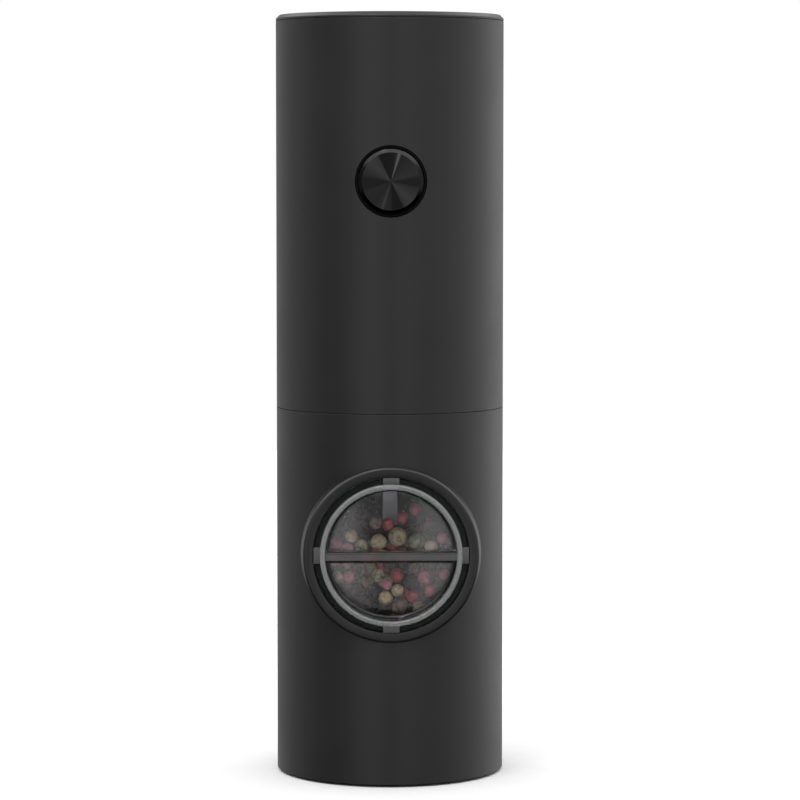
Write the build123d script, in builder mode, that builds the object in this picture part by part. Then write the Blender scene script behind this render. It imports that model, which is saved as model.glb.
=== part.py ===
"""Battery pepper mill: a two-part cylindrical casing with a front push button and a round filling port.

Millimetres, +Z up, origin on the floor at the casing's axis. The button and the port face -Y.
The lower casing holds the clear hopper, the ceramic burrs and the drive shaft. The upper casing lifts
off with the battery pack, the motor and a two-stage planetary gearbox. Their only link is a square
shaft that plugs into the gearbox's output socket.
"""

import math
import os

from build123d import *

os.makedirs("parts", exist_ok=True)

# ---------------------------------------------------------------- driving sizes
body_diameter = 57.0
overall_height = 190.0
seam_height = 92.0  # floor to the joint between the two casings
casing_wall = 2.0
seam_gap = 0.15
seam_break = 0.1  # edges on both sides of a seam
foot_stand = 0.6  # the foot ring holds the casing this far off the floor

fit = 0.2  # clearance between moulded pieces that slide into each other
snug = 0.05  # clearance of a running journal, a pin or a seal
edge_break = 0.25

# filling port on the front of the lower casing
port_height = 57.5
port_bore_radius = 18.6
port_wall = 2.0  # tail of the collar through both walls
port_step = 0.6  # counterbore that takes the flange of the cap
port_face_width = 3.0  # from the bore to the edge of the flat face
port_face_stand = 0.7  # how far the flat face stands in front of the casing
port_draft = 7.0  # degrees
port_edge = 0.4  # rounding of the flat face's outer edge
thread_lead = 20.0
thread_ridge = 1.0
thread_height = 0.85  # how far a ridge of the collar stands into the bore
thread_depth = 4.6  # from the flat face to the collar's ridges
thread_reach = 25.0  # degrees each side of the horizontal

# transparent cap in the port
cap_wall = 1.35
cap_play = 1.1  # room between the cap's wall and the bore, for the seal and the threads
cap_flange = 1.3
cap_floor = 1.6
cap_well = 5.6  # from the rim to the floor's edge
cap_dome = 0.9
rib_thickness = 2.0
rib_edge = 0.6
tab_width = 4.0
cap_rim_stand = 0.9  # the rim stands this far in front of the port face

# hopper
hopper_wall = 1.5
neck_height = 6.0  # the hopper's rim guides the upper casing
cover_depth = 8.0  # from the seam down to the hopper cover
cover_thickness = 2.0
funnel_top = 34.5
throat_radius = 14.1

# burrs and shaft
shaft_side = 4.0
journal_radius = 3.5
burr_top = 23.2
burr_bottom = 8.8
outer_burr_radius = 17.5
outer_burr_mouth = 13.4
outer_burr_exit = 14.5
inner_burr_mouth = 6.0
inner_burr_exit = 13.9
burr_teeth = 10
adjust_travel = 0.85  # how far the knob lowers the inner burr

# button
button_drop = 41.2  # from the top of the mill to the button's middle
button_radius = 7.9
button_chamfer = 0.8
bezel_width = 0.85  # gap and ring round the button
button_inset = 0.05  # button face behind the casing's front line
button_thickness = 1.45
button_travel = 1.0

# motor and gearbox
gear_module = 0.5
sun_teeth = 12
planet_teeth = 15
planets = 3
gear_width = 4.4
backlash = 0.1
gearbox_wall = 1.9
motor_radius = 12.2
motor_length = 31.0
motor_shaft_radius = 1.0

# batteries
cell_radius = 5.25
cell_length = 44.5
cell_angles = (-150, -30, 30, 150)  # about the axis, clear of the button at -90
tube_wall = 0.9
carrier_floor = 2.6

# top cap
top_cap_thickness = 1.4
top_chamfer = 0.9

# ---------------------------------------------------------------- sizes that follow
body_radius = body_diameter / 2
inner_radius = body_radius - casing_wall
hopper_radius = inner_radius - fit
hopper_bore = hopper_radius - hopper_wall
neck_top = seam_height + neck_height
port_face = body_radius + port_face_stand  # distance from the axis, towards -Y
cap_rim = port_face + cap_rim_stand
tail_radius = port_bore_radius + port_wall
port_step_radius = port_bore_radius + port_step
port_face_radius = port_bore_radius + port_face_width
button_height = overall_height - button_drop
button_stand = body_radius - button_inset
bezel_radius = button_radius + bezel_width
ring_teeth = sun_teeth + 2 * planet_teeth
planet_circle = gear_module * (sun_teeth + planet_teeth) / 2
full_turn = 360
through = 4 * overall_height  # longer than anything it cuts

port_axis = Axis((0, 0, port_height), (0, -1, 0))  # out of the port
port_plane = Plane(origin=(0, 0, port_height), x_dir=(1, 0, 0), z_dir=(0, -1, 0))
port_section = Plane(origin=(0, 0, port_height), x_dir=(1, 0, 0), z_dir=(0, 0, -1))
button_plane = Plane(origin=(0, 0, button_height), x_dir=(1, 0, 0), z_dir=(0, -1, 0))


def save(block, name):
    """Labels a finished piece and writes it under its node's name."""
    block.part.label = name
    export_step(block.part, f"parts/{name}.step")


# ================================================================ lower casing
# Lower sleeve: a plain tube with a round hole for the port.
sleeve_bottom = foot_stand
sleeve_top = seam_height - seam_gap / 2
with BuildPart() as lower_sleeve:
    with BuildSketch(Plane.XY.offset(sleeve_bottom)):
        Circle(body_radius)
        Circle(inner_radius, mode=Mode.SUBTRACT)
    extrude(amount=sleeve_top - sleeve_bottom)
    outer_edges = lower_sleeve.edges().filter_by(GeomType.CIRCLE).group_by(SortBy.RADIUS)[-1]
    chamfer(outer_edges, seam_break)
    with BuildSketch(port_plane):
        Circle(tail_radius + snug)
    extrude(amount=through, mode=Mode.SUBTRACT)
save(lower_sleeve, "lower_sleeve")

# Hopper: a clear jar whose rim stands above the seam and whose funnel feeds the burrs.
funnel_foot = burr_top + 2 * fit + 3 * hopper_wall
throat_bottom = burr_top + 1.6 + fit / 2
seal_section = 0.7
neck_groove = hopper_radius - seal_section + snug
groove_height = seal_section + 2 * fit
neck_groove_bottom = seam_height + neck_height / 2
with BuildPart() as hopper:
    with BuildSketch(Plane.XZ):
        Polygon(
            (hopper_bore, neck_top),
            (hopper_radius, neck_top),
            (hopper_radius, neck_groove_bottom + groove_height),
            (neck_groove, neck_groove_bottom + groove_height),
            (neck_groove, neck_groove_bottom),
            (hopper_radius, neck_groove_bottom),
            (hopper_radius, funnel_top - hopper_wall),
            (throat_radius + hopper_wall, funnel_foot - hopper_wall),
            (throat_radius + hopper_wall, throat_bottom),
            (throat_radius, throat_bottom),
            (throat_radius, funnel_foot - hopper_wall / 2),
            (hopper_bore, funnel_top),
            align=None,
        )
    revolve(axis=Axis.Z)
    with BuildSketch(port_plane):
        Circle(tail_radius + snug)
    extrude(amount=through, mode=Mode.SUBTRACT)
save(hopper, "hopper")

with BuildPart() as neck_seal:
    seal_height = neck_groove_bottom + groove_height / 2
    with BuildSketch(Plane.XZ):
        with Locations((neck_groove + seal_section / 2 + snug / 2, seal_height)):
            Circle(seal_section / 2)
    revolve(axis=Axis.Z)
save(neck_seal, "neck_seal")

# Window collar: the flat round port face, drafted down to the casing, and a tail through both walls.
thread_ridge_front = port_face - thread_depth  # face of the ridges that hold the cap
flange_seat = port_face - cap_flange - 3 * fit  # the flange lies a little behind the flat face
draft_depth = port_face - 0.5 * body_radius
port_foot_radius = port_face_radius + draft_depth * math.tan(math.radians(port_draft))
helix_angle = math.degrees(math.atan(thread_lead / (2 * math.pi * port_bore_radius)))


def ridge_pair(inner, outer, front):
    """Two short threads on the left and right of the port, sloped to the lead of the cap's travel."""
    half_height = outer * math.sin(math.radians(thread_reach))
    ring = port_plane * (Cylinder(outer, through) - Cylinder(inner, through))
    slab = Box(2 * outer, thread_ridge, 2 * half_height)
    pair = []
    for side in (1, -1):
        middle = Pos(side * outer, -front + thread_ridge / 2, port_height)
        pair.append(ring & (middle * Rot(side * helix_angle, 0, 0) * slab))
    return pair


ridge_tip = port_bore_radius - thread_height
port_ridges = ridge_pair(ridge_tip, port_bore_radius + port_wall / 2, thread_ridge_front)
tail_back = hopper_bore * 0.4
with BuildPart() as window_collar:
    with BuildSketch(port_section):
        Polygon(
            (port_bore_radius, port_face - draft_depth),
            (port_foot_radius, port_face - draft_depth),
            (port_face_radius, port_face),
            (port_bore_radius, port_face),
            align=None,
        )
    revolve(axis=port_axis)
    front_edges = window_collar.edges().filter_by(GeomType.CIRCLE).group_by(Axis.Y)[0]
    fillet(front_edges.sort_by(SortBy.RADIUS)[-1], port_edge)
    with Locations((0, 0, port_height)):
        Cylinder(body_radius + snug, through, mode=Mode.SUBTRACT)
    with BuildSketch(port_plane.offset(tail_back)):
        Circle(tail_radius)
        Circle(port_bore_radius, mode=Mode.SUBTRACT)
    extrude(amount=port_face - port_face_stand - tail_back)
    with Locations((0, 0, port_height)):
        Cylinder(hopper_bore, through, mode=Mode.SUBTRACT)
    with BuildSketch(port_plane.offset(flange_seat)):
        Circle(port_step_radius)
    extrude(amount=through, mode=Mode.SUBTRACT)
    add(port_ridges)
save(window_collar, "window_collar")

# Window cap: a clear cup with a flange, a finger rib, four tabs and two short threads.
skirt_radius = port_bore_radius - cap_play
cup_radius = skirt_radius - cap_wall
flange_radius = port_step_radius - fit - snug
flange_back = flange_seat + fit
flange_front = flange_back + cap_flange
floor_front = cap_rim - cap_well
skirt_end = thread_ridge_front - 3 * thread_ridge
cap_ridge_front = thread_ridge_front - thread_ridge - fit
cap_ridges = ridge_pair(skirt_radius - snug, port_bore_radius - fit, cap_ridge_front)
with BuildPart() as window_cap:
    with BuildSketch(port_section):
        Polygon(
            (cup_radius, skirt_end),
            (skirt_radius, skirt_end),
            (skirt_radius, flange_back),
            (flange_radius, flange_back),
            (flange_radius, flange_front),
            (skirt_radius, flange_front),
            (skirt_radius, cap_rim),
            (cup_radius, cap_rim),
            align=None,
        )
    revolve(axis=port_axis)
    rim_edges = window_cap.edges().filter_by(GeomType.CIRCLE).group_by(Axis.Y)[0]
    fillet(rim_edges, cap_wall * 0.42)
    with BuildSketch(port_section):
        with BuildLine():
            floor_back = floor_front - cap_floor
            dome = ThreePointArc(
                (-cup_radius - snug, floor_front),
                (0, floor_front + cap_dome),
                (cup_radius + snug, floor_front),
            )
            Polyline(dome @ 1, (cup_radius + snug, floor_back), (-cup_radius - snug, floor_back), dome @ 0)
        make_face()
        with Locations((-body_radius, floor_front)):
            Rectangle(body_diameter, body_diameter, mode=Mode.SUBTRACT)
    revolve(axis=port_axis)
    with BuildSketch(port_plane.offset(floor_front - cap_floor / 2)):
        Rectangle(2 * cup_radius + cap_wall, rib_thickness)
    extrude(amount=cap_rim - rib_edge - floor_front + cap_floor / 2)
    with BuildSketch(port_plane.offset(flange_front - snug)):
        with PolarLocations(skirt_radius + (flange_radius - skirt_radius) / 2, 4):
            Rectangle(flange_radius - skirt_radius + snug, tab_width)
    extrude(amount=cap_rim - rib_edge - flange_front)
    add(cap_ridges)
save(window_cap, "window_cap")

# The cap's seal rides under its flange. It slides with the cap, and the cap turns inside it.
cap_seal_section = port_bore_radius - skirt_radius - 2 * snug
cap_seal_middle = skirt_radius + snug + cap_seal_section / 2
with BuildPart() as cap_seal:
    with BuildSketch(port_section):
        with Locations((cap_seal_middle, flange_back - snug - cap_seal_section / 2)):
            Circle(cap_seal_section / 2)
    revolve(axis=port_axis)
save(cap_seal, "cap_seal")

# Hopper cover: closes the jar under the upper casing and carries the shaft's upper journal.
cover_height = seam_height - cover_depth
hub_radius = journal_radius + snug + 1.6
hub_drop = 2.5
with BuildPart() as hopper_cover:
    with BuildSketch(Plane.XY.offset(cover_height)):
        Circle(hopper_bore - snug)
    extrude(amount=cover_thickness)
    with BuildSketch(Plane.XY.offset(cover_height - hub_drop)):
        Circle(hub_radius)
    extrude(amount=cover_thickness + 2 * hub_drop)
    with BuildSketch(Plane.XY.offset(cover_height + cover_thickness)):
        Circle(hopper_bore - snug)
        Circle(hopper_bore - snug - hopper_wall, mode=Mode.SUBTRACT)
    extrude(amount=hub_drop)
    with BuildSketch(Plane.XY):
        Circle(journal_radius + snug)
    extrude(amount=neck_top, mode=Mode.SUBTRACT)
save(hopper_cover, "hopper_cover")

# Grinder housing: an outer wall, a web, the burr seat with its top lip, and a three-armed bearing bridge.
housing_bottom = 3.0
web_top = 22.0
web_thickness = 2.0
seat_bore = outer_burr_radius + snug + 0.1
seat_radius = seat_bore + 1.75
lip_bore = throat_radius - fit
lip_thickness = 1.6
lip_top = burr_top + lip_thickness
bridge_hub = journal_radius + 2 * snug + 1.6
screw_circle = seat_radius + 1.6
screw_boss = 2.5
screw_pilot = 0.9
arm_width = 2.4
foot_inner = inner_radius - 4.0
with BuildPart() as grinder_housing:
    with BuildSketch(Plane.XZ):
        Polygon(
            (foot_inner, housing_bottom),
            (hopper_radius, housing_bottom),
            (hopper_radius, web_top),
            (seat_radius, web_top),
            (seat_radius, lip_top),
            (lip_bore, lip_top),
            (lip_bore, burr_top),
            (seat_bore, burr_top),
            (seat_bore, burr_bottom),
            (seat_radius, burr_bottom),
            (seat_radius, web_top - web_thickness),
            (hopper_bore, web_top - web_thickness),
            (hopper_bore, housing_bottom + hopper_wall),
            (foot_inner, housing_bottom + hopper_wall),
            align=None,
        )
    revolve(axis=Axis.Z)
    with BuildSketch(Plane.XY.offset(burr_top)):
        with PolarLocations(lip_bore / 2, 3, start_angle=30):
            Rectangle(lip_bore + snug * 4, arm_width)
        Circle(bridge_hub)
    extrude(amount=lip_thickness)
    with BuildSketch(Plane.XY.offset(burr_top - 0.6)):
        Circle(bridge_hub)
    extrude(amount=lip_thickness + 2.2)
    with BuildSketch(Plane.XY.offset(burr_bottom)):
        with PolarLocations(screw_circle, 3, start_angle=90):
            Circle(screw_boss)
    extrude(amount=web_top - web_thickness - burr_bottom)
    with BuildSketch(Plane.XY.offset(burr_bottom)):
        Circle(seat_bore)
    extrude(amount=burr_top - 0.6 - burr_bottom, mode=Mode.SUBTRACT)
    with BuildSketch(Plane.XY.offset(burr_bottom)):
        with PolarLocations(screw_circle, 3, start_angle=90):
            Circle(screw_pilot)
    extrude(amount=7.0, mode=Mode.SUBTRACT)
    with BuildSketch(Plane.XY):
        Circle(journal_radius + 2 * snug)
    extrude(amount=2 * lip_top, mode=Mode.SUBTRACT)
save(grinder_housing, "grinder_housing")

# Burr retainer and its screws hold the outer burr up in its seat.
retainer_thickness = 1.8
retainer_top = burr_bottom - snug
screw_head_radius = 1.8
screw_head = 1.2
low_head = 0.85
with BuildPart() as burr_retainer:
    with BuildSketch(Plane.XY.offset(retainer_top - retainer_thickness)):
        Circle(seat_radius)
        with PolarLocations(screw_circle, 3, start_angle=90):
            Circle(screw_boss)
        Circle(outer_burr_exit + 0.8, mode=Mode.SUBTRACT)
        with PolarLocations(screw_circle, 3, start_angle=90):
            Circle(screw_pilot + fit, mode=Mode.SUBTRACT)
    extrude(amount=retainer_thickness)
save(burr_retainer, "burr_retainer")


def screw_circle_set(name, seat, radius, start, length, head):
    """Three pan-head screws that point up from the height of their seat."""
    with BuildPart() as screws:
        with BuildSketch(Plane.XY.offset(seat - head)):
            with PolarLocations(radius, 3, start_angle=start):
                Circle(screw_head_radius)
        extrude(amount=head)
        with BuildSketch(Plane.XY.offset(seat)):
            with PolarLocations(radius, 3, start_angle=start):
                Circle(screw_pilot - snug)
        extrude(amount=length)
        with BuildSketch(Plane.XY.offset(seat - head)):
            with PolarLocations(radius, 3, start_angle=start):
                Rectangle(screw_head_radius, screw_head_radius / 4)
                Rectangle(screw_head_radius / 4, screw_head_radius)
        extrude(amount=head / 2, mode=Mode.SUBTRACT)
    save(screws, name)


screw_circle_set("retainer_screws", retainer_top - retainer_thickness, screw_circle, 90, 7.5, screw_head)

# Outer burr: a ceramic ring with slanted teeth on its inner cone.
tooth_depth = 0.9
groove_foot = burr_bottom + 3.0  # below it the ring is smooth, for a fine last cut
groove_rise = burr_top - groove_foot
with BuildPart() as outer_burr:
    with BuildSketch(Plane.XZ):
        Polygon(
            (outer_burr_mouth, burr_top - snug),
            (outer_burr_radius, burr_top - snug),
            (outer_burr_radius, burr_bottom),
            (outer_burr_exit, burr_bottom),
            align=None,
        )
    revolve(axis=Axis.Z)
    with PolarLocations(outer_burr_mouth, 2 * burr_teeth):
        with Locations((0, 0, groove_foot + groove_rise / 2)):
            Box(2 * tooth_depth, 1.2, groove_rise + 2, rotation=(18, 0, 0), mode=Mode.SUBTRACT)
save(outer_burr, "outer_burr")

# Inner burr: a ceramic cone with spiral grooves, square on the shaft, with a pocket for its spring.
inner_burr_top = burr_top - 1.2
inner_burr_bottom = burr_bottom - fit
spring_pocket = 4.8
pocket_floor = 14.0
cone_fall = (inner_burr_exit - inner_burr_mouth) / (inner_burr_top - inner_burr_bottom)
cone_slope = math.degrees(math.atan(cone_fall))
with BuildPart() as inner_burr:
    with BuildSketch(Plane.XZ):
        Polygon(
            (0, inner_burr_bottom),
            (inner_burr_exit, inner_burr_bottom),
            (inner_burr_exit, inner_burr_bottom + 1.0),
            (inner_burr_mouth, inner_burr_top),
            (0, inner_burr_top),
            align=None,
        )
    revolve(axis=Axis.Z)
    groove_middle = (inner_burr_top + inner_burr_bottom) / 2 + 1.8
    groove_radius = inner_burr_mouth + (inner_burr_top - groove_middle) * cone_fall
    with PolarLocations(groove_radius + 0.2, burr_teeth):
        with Locations((0, 0, groove_middle)):
            Box(2.2, 1.9, 12.5, rotation=(-24, -cone_slope, 0), mode=Mode.SUBTRACT)
    with BuildSketch(Plane.XY.offset(pocket_floor)):
        Circle(spring_pocket)
    extrude(amount=inner_burr_top, mode=Mode.SUBTRACT)
    with BuildSketch(Plane.XY):
        Rectangle(shaft_side + fit, shaft_side + fit)
    extrude(amount=inner_burr_top, mode=Mode.SUBTRACT)
save(inner_burr, "inner_burr")

# Drive shaft: a square bar, round and threaded below the burr.
thread_radius = 1.95
shaft_bottom = 3.4
shaft_top = 107.0
with BuildPart() as drive_shaft:
    with BuildSketch(Plane.XY.offset(inner_burr_bottom)):
        RectangleRounded(shaft_side, shaft_side, 0.3)
    extrude(amount=shaft_top - inner_burr_bottom)
    chamfer(drive_shaft.faces().sort_by(Axis.Z)[-1].edges(), edge_break)
    with BuildSketch(Plane.XY.offset(shaft_bottom)):
        Circle(thread_radius)
    extrude(amount=inner_burr_bottom - shaft_bottom)
save(drive_shaft, "drive_shaft")


def journal(bottom, top, radius, name):
    """A round sleeve on the square shaft."""
    with BuildPart() as sleeve:
        with BuildSketch(Plane.XY.offset(bottom)):
            Circle(radius)
            Rectangle(shaft_side + snug, shaft_side + snug, mode=Mode.SUBTRACT)
        extrude(amount=top - bottom)
    save(sleeve, name)


washer_top = burr_top - 0.7
journal(washer_top, lip_top + 1.4, journal_radius, "lower_journal")
upper_journal_bottom = cover_height - hub_drop - 0.5
upper_journal_top = cover_height + cover_thickness + hub_drop + 0.5
journal(upper_journal_bottom, upper_journal_top, journal_radius, "upper_journal")
journal(washer_top - 0.5, washer_top - snug, spring_pocket - fit, "spring_washer")

# Burr spring: pushes the inner burr down onto the adjusting knob.
spring_wire = 0.7
spring_radius = spring_pocket - fit - spring_wire
spring_bottom = pocket_floor + spring_wire / 2 + snug
spring_top = washer_top - 0.5 - spring_wire / 2 - snug


def coil(name, radius, wire, start, direction, length, turns):
    """A round-wire helical spring that runs from start along direction."""
    with BuildPart() as spring:
        with BuildLine() as path:
            Helix(pitch=length / turns, height=length, radius=radius, center=start, direction=direction)
        with BuildSketch(Plane(path.line @ 0, z_dir=path.line % 0)):
            Circle(wire / 2)
        sweep(path=path.line, is_frenet=True)
    save(spring, name)


spring_length = spring_top - spring_bottom
coil("burr_spring", spring_radius, spring_wire, (0, 0, spring_bottom), (0, 0, 1), spring_length, 4)

# Stirrer: a hub with two sloping arms keeps the peppercorns moving in the funnel.
stirrer_bottom = funnel_foot + 1.5
with BuildPart() as stirrer:
    with BuildSketch(Plane.XY.offset(stirrer_bottom)):
        Circle(journal_radius + 0.5)
    extrude(amount=5.0)
    for turn in (0, 180):
        arm = Box(10.5, 2.4, 1.4, mode=Mode.PRIVATE)
        add(Rot(0, 0, turn) * (Pos(7.2, 0, stirrer_bottom + 3.4) * Rot(0, -20, 0) * arm))
    with BuildSketch(Plane.XY.offset(stirrer_bottom)):
        Rectangle(shaft_side + snug, shaft_side + snug)
    extrude(amount=10.0, mode=Mode.SUBTRACT)
save(stirrer, "stirrer")

# Adjusting knob: a scalloped disc on the shaft's thread. Turning it raises or lowers the inner burr.
washer_room = 0.4
knob_top = inner_burr_bottom - washer_room
knob_bottom = adjust_travel + 1.7
knob_radius = 9.5
scallops = 12
with BuildPart() as adjust_knob:
    with BuildSketch(Plane.XY.offset(knob_bottom)):
        Circle(knob_radius)
        with PolarLocations(knob_radius + 0.6, scallops):
            Circle(1.5, mode=Mode.SUBTRACT)
        Circle(thread_radius + snug, mode=Mode.SUBTRACT)
    extrude(amount=knob_top - knob_bottom)
    with BuildSketch(Plane.XY.offset(knob_bottom)):
        Circle(knob_radius - 2.4)
        Circle(thread_radius + 2.0, mode=Mode.SUBTRACT)
    extrude(amount=1.6, mode=Mode.SUBTRACT)
save(adjust_knob, "adjust_knob")

with BuildPart() as burr_washer:
    with BuildSketch(Plane.XY.offset(knob_top + snug)):
        Circle(6.0)
        Circle(thread_radius + fit, mode=Mode.SUBTRACT)
    extrude(amount=inner_burr_bottom - knob_top - 2 * snug)
save(burr_washer, "burr_washer")

# Foot ring: soft rubber under the grinder housing. The mill stands on it.
with BuildPart() as foot_ring:
    with BuildSketch(Plane.XY):
        Circle(hopper_radius - fit)
        Circle(foot_inner + fit, mode=Mode.SUBTRACT)
    extrude(amount=housing_bottom)
    chamfer(foot_ring.faces().sort_by(Axis.Z)[0].outer_wire().edges(), 0.4)
save(foot_ring, "foot_ring")

# ================================================================ upper casing
housing_low = seam_height + seam_gap / 2
housing_high = overall_height - top_cap_thickness - seam_gap
lug_radius = 2.6
lug_circle = inner_radius - 1.8
lug_height = 9.5
chassis_bottom = neck_top + 1.0
deck_thickness = 2.5
lug_bottom = chassis_bottom + deck_thickness + snug
with BuildPart() as upper_housing:
    with BuildSketch(Plane.XY.offset(housing_low)):
        Circle(body_radius)
        Circle(inner_radius, mode=Mode.SUBTRACT)
    extrude(amount=housing_high - housing_low)
    outer_edges = upper_housing.edges().filter_by(GeomType.CIRCLE).group_by(SortBy.RADIUS)[-1]
    chamfer(outer_edges, seam_break)
    with BuildSketch(Plane.XY.offset(lug_bottom)):
        with PolarLocations(lug_circle, 3, start_angle=90):
            Circle(lug_radius)
        Circle(body_radius - casing_wall / 2, mode=Mode.INTERSECT)
        with PolarLocations(lug_circle, 3, start_angle=90):
            Circle(screw_pilot, mode=Mode.SUBTRACT)
    extrude(amount=lug_height)
    with BuildSketch(button_plane):
        Circle(bezel_radius + snug)
    extrude(amount=through, mode=Mode.SUBTRACT)
save(upper_housing, "upper_housing")

# Top cap: a flat lid with a chamfered edge and a plug. It lifts off to reach the cells.
plug_bottom = housing_high - 4.0
plug_radius = inner_radius - fit
plug_wall = 1.9
cap_groove = plug_radius - seal_section + snug
cap_groove_bottom = plug_bottom + 1.4
with BuildPart() as top_cap:
    with BuildSketch(Plane.XZ):
        Polygon(
            (0, overall_height - top_cap_thickness),
            (plug_radius - plug_wall, overall_height - top_cap_thickness),
            (plug_radius - plug_wall, plug_bottom),
            (plug_radius, plug_bottom),
            (plug_radius, cap_groove_bottom),
            (cap_groove, cap_groove_bottom),
            (cap_groove, cap_groove_bottom + groove_height),
            (plug_radius, cap_groove_bottom + groove_height),
            (plug_radius, overall_height - top_cap_thickness),
            (body_radius, overall_height - top_cap_thickness),
            (body_radius, overall_height - top_chamfer),
            (body_radius - top_chamfer, overall_height),
            (0, overall_height),
            align=None,
        )
    revolve(axis=Axis.Z)
save(top_cap, "top_cap")

with BuildPart() as top_cap_seal:
    with BuildSketch(Plane.XZ):
        with Locations((cap_groove + seal_section / 2 + snug / 2, cap_groove_bottom + groove_height / 2)):
            Circle(seal_section / 2)
    revolve(axis=Axis.Z)
save(top_cap_seal, "top_cap_seal")

# Button: bezel with a guide plate, the metal cap, its guided stem and its return spring.
bezel_front = button_stand - 1.45
plate_back = bezel_front - 4.0
plate_front = plate_back + 1.0
bezel_flange = 10.0
stem_radius = 2.0
stem_flange = 0.8
stem_plate = 0.8
with BuildPart() as button_bezel:
    with BuildSketch(button_plane.offset(plate_back)):
        Circle(bezel_flange)
        Circle(stem_radius + fit, mode=Mode.SUBTRACT)
    extrude(amount=plate_front - plate_back)
    with BuildSketch(button_plane.offset(plate_back)):
        Circle(bezel_radius)
        Circle(button_radius + fit, mode=Mode.SUBTRACT)
    extrude(amount=bezel_front - plate_back)
save(button_bezel, "button_bezel")

with BuildPart() as button_cap:
    with BuildSketch(button_plane.offset(button_stand - button_thickness)):
        Circle(button_radius)
    extrude(amount=button_thickness)
    chamfer(button_cap.faces().sort_by(Axis.Y)[0].edges(), button_chamfer)
save(button_cap, "button_cap")

stem_front = button_stand - button_thickness
with BuildPart() as button_stem:
    with BuildSketch(button_plane.offset(plate_back - fit - stem_flange)):
        Circle(stem_radius)
    extrude(amount=stem_front - plate_back + fit + stem_flange)
    with BuildSketch(button_plane.offset(plate_back - fit - stem_flange)):
        Circle(stem_radius + stem_flange)
    extrude(amount=stem_flange)
    with BuildSketch(button_plane.offset(stem_front - stem_plate)):
        Circle(button_radius - 0.8)
    extrude(amount=stem_plate)
save(button_stem, "button_stem")

button_wire = 0.45
spring_start = plate_front + button_wire / 2 + snug
spring_span = stem_front - stem_plate - button_wire / 2 - snug - spring_start
coil("button_spring", 4.2, button_wire, (0, -spring_start, button_height), (0, -1, 0), spring_span, 2.5)

# Chassis: the deck that closes the upper casing's underside, and the sleeve round gearbox and motor.
gearbox_bottom = chassis_bottom + deck_thickness + 0.1
socket_radius = (shaft_side + fit) * math.sqrt(2) / 2 + 1.1
bush_radius = socket_radius + 0.95
dedendum = 1.2 * gear_module
gearbox_radius = gear_module * ring_teeth / 2 + dedendum + gearbox_wall
sleeve_bore = max(gearbox_radius, motor_radius) + 2 * snug
sleeve_outer = sleeve_bore + 1.3
cell_bottom = plug_bottom - fit - cell_length
carrier_bottom = cell_bottom - carrier_floor
chassis_top = carrier_bottom - fit
gearbox_screw_circle = gearbox_radius - 3.4
with BuildPart() as chassis:
    with BuildSketch(Plane.XY.offset(chassis_bottom)):
        Circle(inner_radius - fit)
        Circle(bush_radius + 2 * fit, mode=Mode.SUBTRACT)
        with PolarLocations(lug_circle, 3, start_angle=90):
            Circle(screw_pilot + fit, mode=Mode.SUBTRACT)
        with PolarLocations(gearbox_screw_circle, 3, start_angle=30):
            Circle(screw_pilot + fit, mode=Mode.SUBTRACT)
    extrude(amount=deck_thickness)
    with BuildSketch(Plane.XY.offset(chassis_bottom + deck_thickness)):
        Circle(sleeve_outer)
        Circle(sleeve_bore, mode=Mode.SUBTRACT)
    extrude(amount=chassis_top - chassis_bottom - deck_thickness)
    with BuildSketch(Plane.XZ.offset(-through / 2)):
        with Locations((0, gearbox_bottom + 20.0)):
            SlotOverall(14, 8, rotation=90)
    extrude(amount=through, mode=Mode.SUBTRACT)
save(chassis, "chassis")

screw_circle_set("chassis_screws", chassis_bottom, lug_circle, 90, 8.0, low_head)
screw_circle_set("gearbox_screws", chassis_bottom, gearbox_screw_circle, 30, 4.6, low_head)


# ---------------------------------------------------------------- planetary gearbox
def involute(angle):
    return math.tan(angle) - angle


def gear_points(teeth, play, tip, root, first=0.0):
    """Outline of a spur gear as straight flanks: each tooth has root, pitch and tip points on each side."""
    pressure = math.radians(20)
    pitch_radius = gear_module * teeth / 2
    base_radius = pitch_radius * math.cos(pressure)
    half_pitch = math.pi / (2 * teeth) - play / (2 * pitch_radius)
    flank = []
    for radius in (pitch_radius - root, pitch_radius, pitch_radius + tip):
        at = math.acos(min(1.0, base_radius / radius))
        flank.append((radius, half_pitch + involute(pressure) - involute(at)))
    outline = []
    for tooth in range(teeth):
        middle = first + 2 * math.pi * tooth / teeth
        for radius, half in flank:
            outline.append((radius, middle - half))
        for radius, half in reversed(flank):
            outline.append((radius, middle + half))
    return [(r * math.cos(a), r * math.sin(a)) for r, a in outline]


addendum = 0.85 * gear_module

cover_top = gearbox_bottom + 2.8
ring_bottom = cover_top
disc = 1.9
output_disc = ring_bottom + 0.7
output_gears = output_disc + disc + 0.4
first_disc = output_gears + gear_width + 0.6
first_gears = first_disc + disc + 0.4
gearbox_top = first_gears + gear_width + 1.6
pin_radius = 1.0
carrier_radius = planet_circle + 2.25 * pin_radius

with BuildPart() as gearbox_cover:
    with BuildSketch(Plane.XY.offset(gearbox_bottom)):
        Circle(gearbox_radius)
        Circle(bush_radius + 0.02, mode=Mode.SUBTRACT)
        with PolarLocations(gearbox_screw_circle, 3, start_angle=30):
            Circle(screw_pilot, mode=Mode.SUBTRACT)
    extrude(amount=cover_top - gearbox_bottom)
save(gearbox_cover, "gearbox_cover")

with BuildPart() as output_bush:
    with BuildSketch(Plane.XY.offset(gearbox_bottom)):
        Circle(bush_radius)
        Circle(socket_radius + snug, mode=Mode.SUBTRACT)
    extrude(amount=cover_top + 0.5 - gearbox_bottom)
save(output_bush, "output_bush")

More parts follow.
